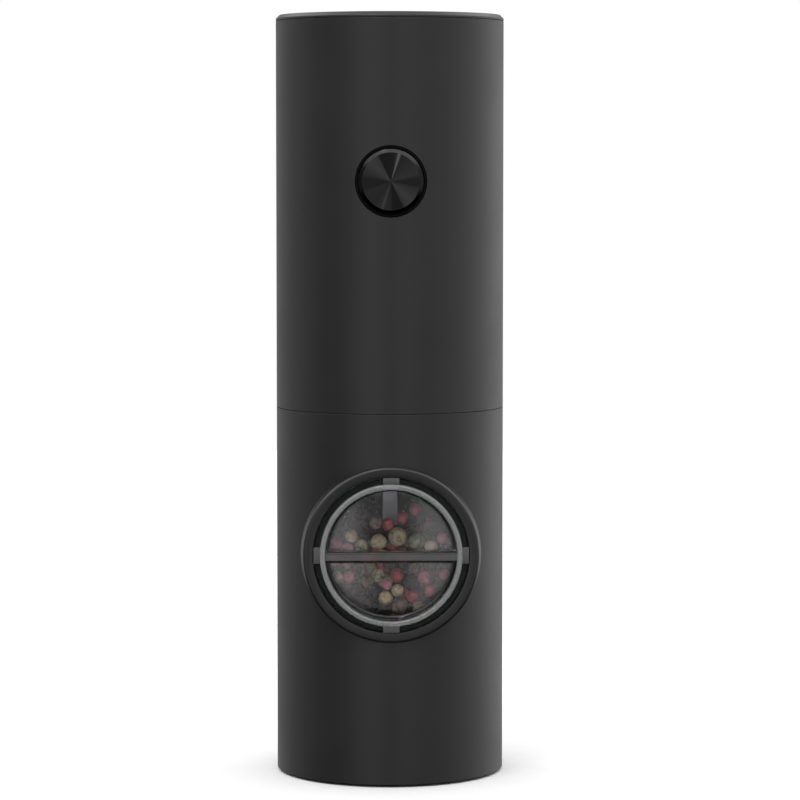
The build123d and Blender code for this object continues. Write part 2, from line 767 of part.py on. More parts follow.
with BuildPart() as ring_gear:
    with BuildSketch(Plane.XY.offset(ring_bottom)):
        Circle(gearbox_radius)
        Polygon(*gear_points(ring_teeth, -backlash, dedendum, addendum), align=None, mode=Mode.SUBTRACT)
    extrude(amount=gearbox_top - ring_bottom)
save(ring_gear, "ring_gear")


def planet_set(bottom, prefix):
    """Three planet gears round the sun, each with one tooth pointing outwards."""
    for number in range(planets):
        outward = Vector(planet_circle, 0, 0).rotate(Axis.Z, full_turn * number / planets)
        middle = outward + Vector(0, 0, bottom)
        with BuildPart() as planet:
            with BuildSketch(Plane(origin=middle, x_dir=outward, z_dir=(0, 0, 1))):
                Polygon(*gear_points(planet_teeth, backlash, addendum, dedendum), align=None)
                Circle(pin_radius + snug, mode=Mode.SUBTRACT)
            extrude(amount=gear_width)
        save(planet, f"{prefix}_planet_{number + 1}")


with BuildPart() as output_carrier:
    with BuildSketch(Plane.XY.offset(output_disc)):
        Circle(carrier_radius)
    extrude(amount=disc)
    with BuildSketch(Plane.XY.offset(gearbox_bottom - 1.6)):
        Circle(socket_radius)
    extrude(amount=output_disc - gearbox_bottom + 1.6)
    with BuildSketch(Plane.XY.offset(gearbox_bottom - 1.6)):
        Rectangle(shaft_side + fit, shaft_side + fit)
    extrude(amount=through, mode=Mode.SUBTRACT)
    with BuildSketch(Plane.XY.offset(output_disc + disc)):
        with PolarLocations(planet_circle, planets):
            Circle(pin_radius)
    extrude(amount=gear_width + 0.6)
save(output_carrier, "output_carrier")
planet_set(output_gears, "output")

with BuildPart() as first_carrier:
    with BuildSketch(Plane.XY.offset(output_gears)):
        Polygon(*gear_points(sun_teeth, backlash, addendum, dedendum), align=None)
    extrude(amount=first_disc - output_gears)
    with BuildSketch(Plane.XY.offset(first_disc)):
        Circle(carrier_radius)
    extrude(amount=disc)
    with BuildSketch(Plane.XY.offset(first_disc + disc)):
        with PolarLocations(planet_circle, planets):
            Circle(pin_radius)
    extrude(amount=gear_width + 0.6)
save(first_carrier, "first_carrier")
planet_set(first_gears, "first")

with BuildPart() as motor_pinion:
    with BuildSketch(Plane.XY.offset(first_gears)):
        Polygon(*gear_points(sun_teeth, backlash, addendum, dedendum), align=None)
        Circle(motor_shaft_radius + 0.01, mode=Mode.SUBTRACT)
    extrude(amount=gear_width + 0.6)
save(motor_pinion, "motor_pinion")

# ---------------------------------------------------------------- motor
motor_bottom = gearbox_top + 0.1
motor_top = motor_bottom + motor_length
bearing_radius = 3.0
with BuildPart() as motor_shaft:
    with BuildSketch(Plane.XY.offset(first_gears)):
        Circle(motor_shaft_radius)
    extrude(amount=motor_bottom + 6.0 - first_gears)
save(motor_shaft, "motor_shaft")

with BuildPart() as motor_can:
    with BuildSketch(Plane.XY.offset(motor_bottom)):
        Circle(motor_radius)
    extrude(amount=motor_length)
    fillet(motor_can.faces().sort_by(Axis.Z)[0].edges(), 1.2)
    with BuildSketch(Plane.XY.offset(motor_bottom)):
        Circle(motor_shaft_radius + snug)
    extrude(amount=7.0, mode=Mode.SUBTRACT)
    for side in (-1, 1):
        with Locations((0, side * motor_radius, motor_bottom + motor_length / 2)):
            Box(10, 1.0, 12, mode=Mode.SUBTRACT)
save(motor_can, "motor_can")

with BuildPart() as motor_end_cap:
    with BuildSketch(Plane.XY.offset(motor_top)):
        Circle(motor_radius - 0.6)
    extrude(amount=2.0)
    with BuildSketch(Plane.XY.offset(motor_top)):
        Circle(bearing_radius)
    extrude(amount=3.2)
save(motor_end_cap, "motor_end_cap")

terminal_offset = 6.0
with BuildPart() as motor_terminals:
    with BuildSketch(Plane.XY.offset(motor_top + 2.0)):
        with Locations((terminal_offset, 0), (-terminal_offset, 0)):
            Rectangle(0.6, 3.0)
    extrude(amount=3.0)
save(motor_terminals, "motor_terminals")

# ---------------------------------------------------------------- cells, carrier and electronics
cell_circle = sleeve_outer + cell_radius
tube_bore = cell_radius + 0.15
carrier_top = plug_bottom - 2 * fit
cell_points = [
    (cell_circle * math.cos(math.radians(a)), cell_circle * math.sin(math.radians(a))) for a in cell_angles
]
board_back = sleeve_outer + 1.0
board_thickness = 1.6
board_width = 22.0
board_low = button_height - 12.4
board_high = button_height + 12.6
board_screw_points = [(-8.5, -8.0), (8.5, -8.0), (-8.5, 9.0), (8.5, 9.0)]
wire_slot = 14.0
with BuildPart() as battery_carrier:
    with BuildSketch(Plane.XY.offset(carrier_bottom)):
        Circle(sleeve_outer)
        with Locations(*cell_points):
            Circle(tube_bore + tube_wall)
        Circle(sleeve_bore, mode=Mode.SUBTRACT)
    extrude(amount=carrier_top - carrier_bottom)
    with BuildSketch(Plane.XY.offset(cell_bottom - 0.9)):
        with Locations(*cell_points):
            Circle(tube_bore)
    extrude(amount=through, mode=Mode.SUBTRACT)
    with BuildSketch(Plane.XY.offset(motor_top + 5.5)):
        with Locations((0, -sleeve_outer)):
            Rectangle(wire_slot, 2 * sleeve_outer - 3)
    extrude(amount=through, mode=Mode.SUBTRACT)
    with BuildSketch(button_plane.offset(sleeve_bore * 0.7)):
        with Locations(*board_screw_points):
            Circle(1.9)
    extrude(amount=board_back - sleeve_bore * 0.7)
    with BuildSketch(Plane.XY.offset(carrier_bottom)):
        Circle(sleeve_bore)
    extrude(amount=motor_top + 5.5 - carrier_bottom, mode=Mode.SUBTRACT)
    with BuildSketch(button_plane.offset(board_back - 3.0)):
        with Locations(*board_screw_points):
            Circle(0.75)
    extrude(amount=5.0, mode=Mode.SUBTRACT)
save(battery_carrier, "battery_carrier")

nub_radius = 2.7
nub_height = 0.9
for number, (x, y) in enumerate(cell_points):
    nub_up = number % 2 == 0
    with BuildPart() as cell:
        with BuildSketch(Plane.XY.offset(cell_bottom if nub_up else cell_bottom + nub_height)):
            with Locations((x, y)):
                Circle(cell_radius)
        extrude(amount=cell_length - nub_height)
        fillet(cell.edges().filter_by(GeomType.CIRCLE), 0.4)
        with BuildSketch(Plane.XY.offset(cell_bottom + (cell_length - nub_height if nub_up else 0))):
            with Locations((x, y)):
                Circle(nub_radius)
        extrude(amount=nub_height)
    save(cell, f"battery_cell_{number + 1}")

with BuildPart() as cell_contacts:
    with BuildSketch(Plane.XY.offset(cell_bottom - 0.85)):
        with Locations(*cell_points):
            Circle(cell_radius - 0.8)
    extrude(amount=0.4)
    with BuildSketch(Plane.XY.offset(cell_bottom - 0.45)):
        with Locations(*cell_points):
            Circle(1.6)
    extrude(amount=0.4)
save(cell_contacts, "cell_contacts")

# The lid's contact board joins the cells in pairs through four bowed contacts.
contact_board_bottom = overall_height - top_cap_thickness - 1.2
with BuildPart() as cap_contact_board:
    with BuildSketch(Plane.XY.offset(contact_board_bottom)):
        Circle(plug_radius - plug_wall - fit)
    extrude(amount=1.2)
save(cap_contact_board, "cap_contact_board")

with BuildPart() as cap_contacts:
    with BuildSketch(Plane.XY.offset(contact_board_bottom)):
        with Locations(*cell_points):
            Circle(2.4)
    extrude(amount=plug_bottom + fit - contact_board_bottom, taper=20)
save(cap_contacts, "cap_contacts")

with BuildPart() as circuit_board:
    with BuildSketch(button_plane.offset(board_back)):
        with Locations((0, (board_low + board_high) / 2 - button_height)):
            RectangleRounded(board_width, board_high - board_low, 1.5)
        with Locations(*board_screw_points):
            Circle(0.95, mode=Mode.SUBTRACT)
    extrude(amount=board_thickness)
save(circuit_board, "circuit_board")

with BuildPart() as board_screws:
    board_front = board_back + board_thickness
    with BuildSketch(button_plane.offset(board_back - 2.8)):
        with Locations(*board_screw_points):
            Circle(0.7)
    extrude(amount=2.8 + board_thickness)
    with BuildSketch(button_plane.offset(board_front)):
        with Locations(*board_screw_points):
            Circle(1.5)
    extrude(amount=0.9)
save(board_screws, "board_screws")

switch_side = 6.0
plunger_front = plate_back - fit - stem_flange - button_travel - 0.1
with BuildPart() as tactile_switch:
    with BuildSketch(button_plane.offset(board_front)):
        Rectangle(switch_side, switch_side)
    extrude(amount=plunger_front - 0.6 - board_front)
    with BuildSketch(button_plane.offset(board_front)):
        Circle(1.7)
    extrude(amount=plunger_front - board_front)
save(tactile_switch, "tactile_switch")

wire_radius = 0.65
wire_top = motor_top + 14.0
with BuildPart() as motor_wires:
    for side in (-1, 1):
        x = side * terminal_offset
        start = (x, 0, motor_top + 5.0 + wire_radius * 0.1)
        bend = (x, 0, wire_top)
        over = (x, -board_back - board_thickness / 2, wire_top)
        end = (x, -board_back - board_thickness / 2, board_high + snug)
        with BuildLine() as route:
            FilletPolyline(start, bend, over, end, radius=3.0)
        with BuildSketch(Plane(start, z_dir=(0, 0, 1))):
            Circle(wire_radius)
        sweep(path=route.line)
save(motor_wires, "motor_wires")
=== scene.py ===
"""Looks of the battery pepper mill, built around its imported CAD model. Metres, +Z up, front -Y."""

import math
import random

import bpy
import numpy as np
from mathutils import Matrix, Vector


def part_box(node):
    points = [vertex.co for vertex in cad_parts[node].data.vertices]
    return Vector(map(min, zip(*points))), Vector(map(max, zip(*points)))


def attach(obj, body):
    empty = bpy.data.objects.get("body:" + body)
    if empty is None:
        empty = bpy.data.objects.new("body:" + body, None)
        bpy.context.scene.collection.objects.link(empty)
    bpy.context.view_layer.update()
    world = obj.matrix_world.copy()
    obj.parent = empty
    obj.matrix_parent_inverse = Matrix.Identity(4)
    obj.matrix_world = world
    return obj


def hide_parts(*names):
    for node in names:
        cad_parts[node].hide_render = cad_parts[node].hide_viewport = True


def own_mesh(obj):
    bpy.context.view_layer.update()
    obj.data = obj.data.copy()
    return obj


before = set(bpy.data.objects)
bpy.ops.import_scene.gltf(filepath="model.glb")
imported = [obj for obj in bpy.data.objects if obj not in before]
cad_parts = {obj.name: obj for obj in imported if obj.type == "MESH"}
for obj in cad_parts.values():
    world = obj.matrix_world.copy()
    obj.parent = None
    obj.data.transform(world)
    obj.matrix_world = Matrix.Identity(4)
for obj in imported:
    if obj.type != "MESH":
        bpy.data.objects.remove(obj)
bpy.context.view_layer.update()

MM = 0.001
FULL_TURN = 2 * math.pi

# ------------------------------------------------------------------ places, from the CAD nodes
sleeve_low, sleeve_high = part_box("lower_sleeve")
body_radius = sleeve_high.x
port_height = (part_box("window_cap")[0].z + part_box("window_cap")[1].z) / 2
port_face = -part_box("window_collar")[0].y
cap_rim = -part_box("window_cap")[0].y
button_height = (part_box("button_cap")[0].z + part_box("button_cap")[1].z) / 2
button_face = -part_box("button_cap")[0].y
mill_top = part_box("top_cap")[1].z
PORT = ((0, -1, 0), port_height)
BUTTON = ((0, -1, 0), button_height)
UPRIGHT = ((0, 0, 1), 0.0)
BACKDROP = 1.0  # what the camera sees behind the mill, pure white
KEY_LAMP = 18.0  # brightness of the small lamp's face


# ------------------------------------------------------------------ modelling
def clear():
    """Leaves nothing selected, so that the next operator acts on its own piece only."""
    if bpy.context.object and bpy.context.object.mode != "OBJECT":
        bpy.ops.object.mode_set(mode="OBJECT")
    bpy.ops.object.select_all(action="DESELECT")


def settle(name):
    """Names the piece just made and puts its place and size into its mesh."""
    piece = bpy.context.object
    piece.name = name
    bpy.ops.object.transform_apply(location=True, rotation=True, scale=True)
    return piece


def station(radius, reach, turning):
    """The point at a radius from the turning axis and a reach along it."""
    axis, height = turning
    if axis == (0, 0, 1):
        return Vector((radius, 0, reach + height))
    return Vector((radius, -reach, height))


def turned(name, outline, turning=UPRIGHT, steps=192):
    """A turned piece: (radius, reach) points in millimetres, drawn by extruding one corner, then spun."""
    points = [station(r * MM, s * MM, turning) for r, s in outline]
    clear()
    bpy.ops.mesh.primitive_plane_add(size=MM, location=points[0])
    piece = settle(name)
    bpy.ops.object.mode_set(mode="EDIT")
    bpy.ops.mesh.select_all(action="SELECT")
    bpy.ops.mesh.merge(type="CENTER")
    for start, end in zip(points, points[1:]):
        bpy.ops.mesh.extrude_region_move(TRANSFORM_OT_translate={"value": end - start})
    bpy.ops.mesh.select_all(action="SELECT")
    bpy.ops.mesh.remove_doubles(threshold=1e-6)
    bpy.ops.mesh.spin(steps=steps, angle=FULL_TURN, center=(0, 0, turning[1]), axis=turning[0])
    bpy.ops.mesh.select_all(action="SELECT")
    bpy.ops.mesh.remove_doubles(threshold=2e-6)
    bpy.ops.mesh.normals_make_consistent(inside=False)
    bpy.ops.object.mode_set(mode="OBJECT")
    return piece


def arc(centre, radius, start, end, count=6):
    """Points of an arc in an outline, from one angle to another in degrees."""
    angles = [math.radians(start + (end - start) * i / count) for i in range(count + 1)]
    return [(centre[0] + radius * math.cos(a), centre[1] + radius * math.sin(a)) for a in angles]


def block(name, low, high):
    """A rectangular tool or lug between two corners, in millimetres."""
    low, high = Vector(low) * MM, Vector(high) * MM
    clear()
    bpy.ops.mesh.primitive_cube_add(size=1, location=(low + high) / 2, scale=high - low)
    return settle(name)


def combine(piece, tool, how):
    """Cuts, joins or trims a piece with a tool, and removes the tool."""
    clear()
    piece.select_set(True)
    bpy.context.view_layer.objects.active = piece
    step = piece.modifiers.new("combine", "BOOLEAN")
    step.operation = how
    step.solver = "EXACT"
    step.object = tool
    bpy.ops.object.modifier_apply(modifier=step.name)
    bpy.data.objects.remove(tool)
    return piece


def soften(piece, width, angle=40, segments=2):
    """Rounds every edge sharper than the angle, as a mould or a deburring tool leaves it."""
    clear()
    piece.select_set(True)
    bpy.context.view_layer.objects.active = piece
    step = piece.modifiers.new("soften", "BEVEL")
    step.width = width * MM
    step.segments = segments
    step.limit_method = "ANGLE"
    step.angle_limit = math.radians(angle)
    bpy.ops.object.modifier_apply(modifier=step.name)
    return piece


def polish(piece, angle=35):
    """Smooth shading, with edges sharper than the angle kept crisp."""
    clear()
    piece.select_set(True)
    bpy.context.view_layer.objects.active = piece
    bpy.ops.object.shade_smooth_by_angle(angle=math.radians(angle))
    return piece


# ------------------------------------------------------------------ materials
def linear(colour):
    """An sRGB hex colour as linear RGBA."""
    parts = [int(colour[i : i + 2], 16) / 255 for i in (1, 3, 5)]
    return (*[c / 12.92 if c <= 0.04045 else ((c + 0.055) / 1.055) ** 2.4 for c in parts], 1.0)


def add(tree, kind, sockets=None, **settings):
    """Adds a node, makes its settings, and links its sockets or sets their values."""
    made = tree.nodes.new("ShaderNode" + kind)
    for key, value in settings.items():
        setattr(made, key, value)
    for key, value in (sockets or {}).items():
        if isinstance(value, bpy.types.NodeSocket):
            tree.links.new(value, made.inputs[key])
        else:
            made.inputs[key].default_value = value
    return made


def stops(ramp_node, *marks):
    """Sets a ramp's stops from (position, hex colour or grey level) marks."""
    ramp = ramp_node.color_ramp
    while len(ramp.elements) < len(marks):
        ramp.elements.new(0.5)
    for element, (position, colour) in zip(ramp.elements, marks):
        element.position = position
        element.color = linear(colour) if isinstance(colour, str) else (colour, colour, colour, 1)
    return ramp_node


def material(name, **values):
    """A new material and its shader, with the values that are the same all over set on the shader's own sockets."""
    made = bpy.data.materials.new(name)
    made.use_nodes = True
    tree = made.node_tree
    shader = tree.nodes["Principled BSDF"]
    for key, value in values.items():
        shader.inputs[key.replace("_", " ")].default_value = value
    return made, tree, shader


def texture_space(tree):
    return add(tree, "TexCoord").outputs["Object"]


def relief(tree, shader, height, depth, strength=1.0):
    """Raises the surface by a height pattern, to a depth in millimetres."""
    bump = add(tree, "Bump", {"Height": height, "Distance": depth * MM, "Strength": strength})
    tree.links.new(bump.outputs["Normal"], shader.inputs["Normal"])
    return bump


def grained(tree, shader, grain, depth, rough_low, rough_high, colour_low, colour_high, detail=3.0):
    """A surface with one grain, in millimetres, that raises it. Colour and roughness drift over a wider scale."""
    space = texture_space(tree)
    noise = add(tree, "TexNoise", {"Vector": space, "Scale": 1 / (grain * MM), "Detail": detail})
    broad = add(tree, "TexNoise", {"Vector": space, "Scale": 1 / (60 * grain * MM), "Detail": 2.0})
    rough = add(
        tree,
        "MapRange",
        {"Value": broad.outputs["Fac"], "From Min": 0.3, "From Max": 0.7, "To Min": rough_low, "To Max": rough_high},
    )
    tint = stops(add(tree, "ValToRGB", {"Fac": broad.outputs["Fac"]}), (0.3, colour_low), (0.7, colour_high))
    tree.links.new(rough.outputs["Result"], shader.inputs["Roughness"])
    tree.links.new(tint.outputs["Color"], shader.inputs["Base Color"])
    relief(tree, shader, noise.outputs["Fac"], depth)


# Moulded ABS with a fine spark-eroded texture: satin black, no colour of its own, its glints spread wide.
# The grain is drawn at 0.3 mm, coarser than the mould's 0.1 mm, so that it can show.
casing_abs, tree, shader = material("satin_black_abs", IOR=1.5)
grained(tree, shader, 0.3, 0.006, 0.36, 0.42, "#131313", "#161616")

# The same ABS from a polished insert, a little glossier round the port.
port_abs, tree, shader = material("smooth_black_abs", IOR=1.5)
grained(tree, shader, 0.4, 0.004, 0.3, 0.36, "#121212", "#151515")

# Polished black ABS: deep black with sharp reflections.
bezel_abs, tree, shader = material("gloss_black_abs", IOR=1.5)
grained(tree, shader, 0.8, 0.001, 0.08, 0.14, "#050505", "#080808")

# Black nylon for inner mouldings: dull, slightly grey.
inner_nylon, tree, shader = material("black_nylon", IOR=1.53)
grained(tree, shader, 0.5, 0.01, 0.5, 0.62, "#1b1b1c", "#242425")


def clear_plastic(name, depth, **values):
    """Clear moulded SAN, glass-like: its surface waves slowly from the mould, to a depth in millimetres."""
    made, tree, shader = material(name, IOR=1.47, **values)
    waves = add(tree, "TexNoise", {"Vector": texture_space(tree), "Scale": 1 / (9 * MM), "Detail": 1.0})
    relief(tree, shader, waves.outputs["Fac"], depth)
    return made, tree, shader


clear_san, tree, shader = clear_plastic("clear_san", 0.02, Roughness=0.03, Base_Color=linear("#ebe9eb"))
# Painted reflection: a pale veil lowers the window's clearness above the grains and at its sides, patchy at a fine
# scale, for the haze of reflected light there.
place = add(tree, "SeparateXYZ", {"Vector": texture_space(tree)})
aside = add(tree, "Math", {0: place.outputs["X"]}, operation="ABSOLUTE")
sides = add(tree, "MapRange", {"Value": aside.outputs["Value"], "From Min": 3.5 * MM, "From Max": 11 * MM})
upward = add(
    tree,
    "MapRange",
    {"Value": place.outputs["Z"], "From Min": port_height + 3 * MM, "From Max": port_height + 9 * MM, "To Max": 0.7},
)
painted_haze_area = add(tree, "Math", {0: sides.outputs["Result"], 1: upward.outputs["Result"]}, operation="MAXIMUM")
haze_noise = add(tree, "TexNoise", {"Vector": texture_space(tree), "Scale": 1 / (0.5 * MM), "Detail": 5.0})
patchy = add(tree, "MapRange", {"Value": haze_noise.outputs["Fac"], "From Min": 0.3, "From Max": 0.7, "To Min": 0.5})
veil = add(tree, "Math", {0: painted_haze_area.outputs["Value"], 1: patchy.outputs["Result"]}, operation="MULTIPLY")
clarity = add(tree, "MapRange", {"Value": veil.outputs["Value"], "To Min": 1.0, "To Max": 0.945})
tree.links.new(clarity.outputs["Result"], shader.inputs["Transmission Weight"])
# Painted glow: a whitish diffuse part in the rim stands for the light that runs along the cup's wall, so the rim looks
# lit like frosted glass.
painted_glow_rim_san, tree, shader = clear_plastic(
    "light_gathering_san_rim", 0.04, Roughness=0.14, Transmission_Weight=0.8, Base_Color=linear("#d2d5d5")
)
# The grip is thick and its sides are blasted: smoky and only half clear.
grip_san, tree, shader = clear_plastic(
    "blasted_san_grip", 0.02, Roughness=0.3, Transmission_Weight=0.78, Base_Color=linear("#808282")
)
shader.inputs["Specular IOR Level"].default_value = 0.25
# Painted shade: a dark smoked tint on the flange, which lies over the dark seal, on the cup's rounded foot and on the
# grip's upper and lower edges.
painted_shade_san, tree, shader = clear_plastic(
    "clear_san_over_seal", 0.02, Roughness=0.1, Transmission_Weight=0.85, Base_Color=linear("#3c3e3f")
)
shader.inputs["Specular IOR Level"].default_value = 0.3

# Jar wall, the same plastic a little greyer from pepper dust.
jar_san, tree, shader = material("dusty_clear_san", IOR=1.57, Transmission_Weight=1.0, Base_Color=linear("#e6e6e2"))
space = texture_space(tree)
dust = add(tree, "TexNoise", {"Vector": space, "Scale": 1 / (1.2 * MM), "Detail": 5.0})
rough = add(
    tree,
    "MapRange",
    {"Value": dust.outputs["Fac"], "From Min": 0.4, "From Max": 0.7, "To Min": 0.06, "To Max": 0.3},
)
tree.links.new(rough.outputs["Result"], shader.inputs["Roughness"])

# Spun aluminium, anodised black: fine turning marks round the middle draw the light into radial fans, and the fans are
# also painted into its colour.
button_metal, tree, shader = material("spun_black_aluminium", Metallic=1.0, Anisotropic=0.75)
space = texture_space(tree)
centred = add(tree, "VectorMath", {0: space, 1: (0, 0, button_height)}, operation="SUBTRACT")
split = add(tree, "SeparateXYZ", {"Vector": centred.outputs["Vector"]})
around = add(tree, "Math", {0: split.outputs["Z"], 1: split.outputs["X"]}, operation="ARCTAN2")
turn = add(tree, "MapRange", {"Value": around.outputs["Value"], "From Min": -math.pi, "From Max": math.pi})
# Painted reflection: colour levels by clock angle from the top, lighter and darker in the fans that the lamps draw on
# the face, with a painted glint at half past twelve.
PAINTED_FANS = (
    (270, "#2e2e2e"),
    (256, "#2c2c2c"),
    (246, "#353535"),
    (215, "#313131"),
    (203, "#383838"),
    (198, "#4a4a4a"),
    (193, "#343434"),
    (182, "#303030"),
    (176, "#232323"),
    (156, "#232323"),
    (150, "#404040"),
    (132, "#464646"),
    (108, "#3c3c3c"),
    (98, "#2e2e2e"),
    (82, "#2f2f2f"),
    (74, "#3e3e3e"),
    (40, "#343434"),
    (22, "#2e2e2e"),
    (16.5, "#707070"),
    (12, "#2c2c2c"),
    (4, "#262626"),
    (-24, "#222222"),
    (-30, "#404040"),
    (-48, "#484848"),
    (-74, "#3a3a3a"),
    (-82, "#2e2e2e"),
    (-90, "#2e2e2e"),
)
painted_fans = stops(
    add(tree, "ValToRGB", {"Fac": turn.outputs["Result"]}),
    *[((270 - clock) / 360, level) for clock, level in PAINTED_FANS],
)
depth_out = add(tree, "Math", {0: split.outputs["X"], 1: split.outputs["X"]}, operation="MULTIPLY")
height_out = add(tree, "Math", {0: split.outputs["Z"], 1: split.outputs["Z"]}, operation="MULTIPLY")
across = add(tree, "Math", {0: depth_out.outputs["Value"], 1: height_out.outputs["Value"]}, operation="ADD")
reach = add(tree, "Math", {0: across.outputs["Value"]}, operation="SQRT")
marks = add(
    tree,
    "TexNoise",
    {"W": reach.outputs["Value"], "Scale": 1 / (0.12 * MM), "Detail": 2.0},
    noise_dimensions="1D",
)
rough = add(
    tree,
    "MapRange",
    {"Value": marks.outputs["Fac"], "From Min": 0.3, "From Max": 0.7, "To Min": 0.3, "To Max": 0.4},
)
tangent = add(tree, "Tangent", direction_type="RADIAL", axis="Y")
# The painted reflection fans give the face its colour.
tree.links.new(painted_fans.outputs["Color"], shader.inputs["Base Color"])
tree.links.new(rough.outputs["Result"], shader.inputs["Roughness"])
tree.links.new(tangent.outputs["Tangent"], shader.inputs["Tangent"])
relief(tree, shader, marks.outputs["Fac"], 0.002)

# The button's edge is cut after anodising and dyed again: smoother than the face, with sharper glints.
button_edge, tree, shader = material("cut_black_aluminium", Metallic=1.0)
grained(tree, shader, 0.15, 0.001, 0.15, 0.22, "#2c2c2c", "#343434")

# Black silicone and rubber: matt, faintly dusty.
rubber, tree, shader = material("black_rubber", IOR=1.52)
grained(tree, shader, 0.7, 0.02, 0.72, 0.85, "#141414", "#1e1e1e")
silicone, tree, shader = material("smoke_silicone", IOR=1.41)
grained(tree, shader, 0.6, 0.01, 0.45, 0.6, "#1c1c1d", "#262627")

# Cold-drawn steel: fine lines along the bar, mid gloss.
drawn_steel, tree, shader = material("drawn_steel", Metallic=1.0)
space = texture_space(tree)
along = add(tree, "Mapping", {"Vector": space, "Scale": (1 / (0.1 * MM), 1 / (0.1 * MM), 1 / (4 * MM))})
lines = add(tree, "TexNoise", {"Vector": along.outputs["Vector"], "Scale": 1.0, "Detail": 3.0})
rough = add(tree, "MapRange", {"Value": lines.outputs["Fac"], "To Min": 0.22, "To Max": 0.42})
tint = stops(add(tree, "ValToRGB", {"Fac": lines.outputs["Fac"]}), (0.3, "#85868a"), (0.7, "#a3a4a6"))
tree.links.new(rough.outputs["Result"], shader.inputs["Roughness"])
tree.links.new(tint.outputs["Color"], shader.inputs["Base Color"])
relief(tree, shader, lines.outputs["Fac"], 0.004)

# Zinc-plated steel: bright, bluish, slightly cloudy.
zinc, tree, shader = material("zinc_plate", Metallic=1.0)
grained(tree, shader, 0.5, 0.004, 0.24, 0.36, "#a9aeb3", "#c2c6c9")

# Sintered bronze bush: dark, oily, open-pored.
sintered, tree, shader = material("sintered_bronze", Metallic=1.0)
grained(tree, shader, 0.25, 0.02, 0.42, 0.6, "#6b5236", "#86693f")

# White alumina ceramic: smooth, ivory, faintly speckled.
ceramic, tree, shader = material("alumina_ceramic", IOR=1.76)
grained(tree, shader, 0.35, 0.006, 0.3, 0.45, "#e4e1d8", "#efede6")

# Natural nylon gears: milky and slightly waxy.
gear_nylon, tree, shader = material("natural_nylon", IOR=1.53, Subsurface_Weight=0.2, Subsurface_Scale=0.002)
grained(tree, shader, 0.5, 0.006, 0.38, 0.5, "#ddd9cc", "#e8e4d8")

# Nickel-plated contacts.
nickel, tree, shader = material("nickel_plate", Metallic=1.0)
grained(tree, shader, 0.6, 0.003, 0.18, 0.3, "#b4afa6", "#c6c2ba")

# Solder mask on a glass-fibre board: green, glossy, with the weave faintly raised.
board_mask, tree, shader = material("green_solder_mask", IOR=1.5)
space = texture_space(tree)
weave = add(
    tree,
    "TexChecker",
    {"Vector": space, "Scale": 1 / (0.7 * MM), "Color1": linear("#0f4a2c"), "Color2": linear("#115131")},
)
blur = add(tree, "TexNoise", {"Vector": space, "Scale": 1 / (3 * MM), "Detail": 2.0})
rough = add(tree, "MapRange", {"Value": blur.outputs["Fac"], "To Min": 0.22, "To Max": 0.38})
tree.links.new(weave.outputs["Color"], shader.inputs["Base Color"])
tree.links.new(rough.outputs["Result"], shader.inputs["Roughness"])
relief(tree, shader, weave.outputs["Fac"], 0.005)

# Printed shrink sleeve of a cell: two bands of colour, glossy.
cell_film, tree, shader = material("cell_shrink_film", IOR=1.5)
space = texture_space(tree)
split = add(tree, "SeparateXYZ", {"Vector": space})
cell_low, cell_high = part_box("battery_cell_1")
band = add(
    tree,
    "MapRange",
    {"Value": split.outputs["Z"], "From Min": cell_low.z, "From Max": cell_high.z},
)
film = stops(
    add(tree, "ValToRGB", {"Fac": band.outputs["Result"]}),
    (0.0, "#2f3236"),
    (0.66, "#33373b"),
    (0.67, "#a8743a"),
    (1.0, "#b47c3e"),
)
creases = add(tree, "TexNoise", {"Vector": space, "Scale": 1 / (2.5 * MM), "Detail": 2.0})
rough = add(tree, "MapRange", {"Value": creases.outputs["Fac"], "To Min": 0.16, "To Max": 0.3})
tree.links.new(film.outputs["Color"], shader.inputs["Base Color"])
tree.links.new(rough.outputs["Result"], shader.inputs["Roughness"])
relief(tree, shader, creases.outputs["Fac"], 0.02)

# Soft PVC wire insulation, red.
wire_pvc, tree, shader = material("red_wire_pvc", IOR=1.54)
grained(tree, shader, 0.4, 0.006, 0.35, 0.5, "#8e1a18", "#a8221e")

FINISHES = {
    "housing_black": casing_abs,
    "clear_plastic": jar_san,
    "ceramic_white": ceramic,
    "inner_black": inner_nylon,
    "seal_rubber": rubber,
    "seal_silicone": silicone,
    "bezel_black": bezel_abs,
    "button_metal": button_metal,
    "steel": drawn_steel,
    "zinc": zinc,
    "sintered": sintered,
    "gear_nylon": gear_nylon,
    "contact_metal": nickel,
    "board_green": board_mask,
    "cell_jacket": cell_film,
    "wire_red": wire_pvc,
}


def coat(piece, finish):
    """Gives a piece one finish all over."""
    if not piece.material_slots:
        piece.data.materials.append(finish)
    for held in piece.material_slots:
        held.material = finish
    return piece


def fit(piece, finish, slot, body, *nodes):
    """Finishes a new piece and lets it stand for its CAD nodes."""
    coat(piece, finish)
    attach(piece, body)
    if nodes:
        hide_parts(*nodes)


# Every CAD node first gets the finish of its slot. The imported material's name holds the slot's name.
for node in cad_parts.values():
    for held in node.material_slots:
        for slot, finish in FINISHES.items():
            if held.material and slot in held.material.name:
                coat(node, finish)
                break

# ------------------------------------------------------------------ peppercorns
JAR_BORE = 24.8
PORT_BORE = 18.4
CUP_BORE = 16.1
CUP_BACK = 22.75  # the cap's floor
SKIRT_BACK = 21.5  # the cap's skirt
SHAFT_CLEAR = 2.95
STIRRER_TOP = 36.0
STIRRER_REACH = 13.2
FUNNEL_TOP = 34.5
FUNNEL_SLOPE = 0.668
FILL_LEVEL = 66.0
CAP_SKIRT = 17.6
LOOSE_GRAINS = 1080
SETTLING_STEPS = 170
centre_z = port_height / MM

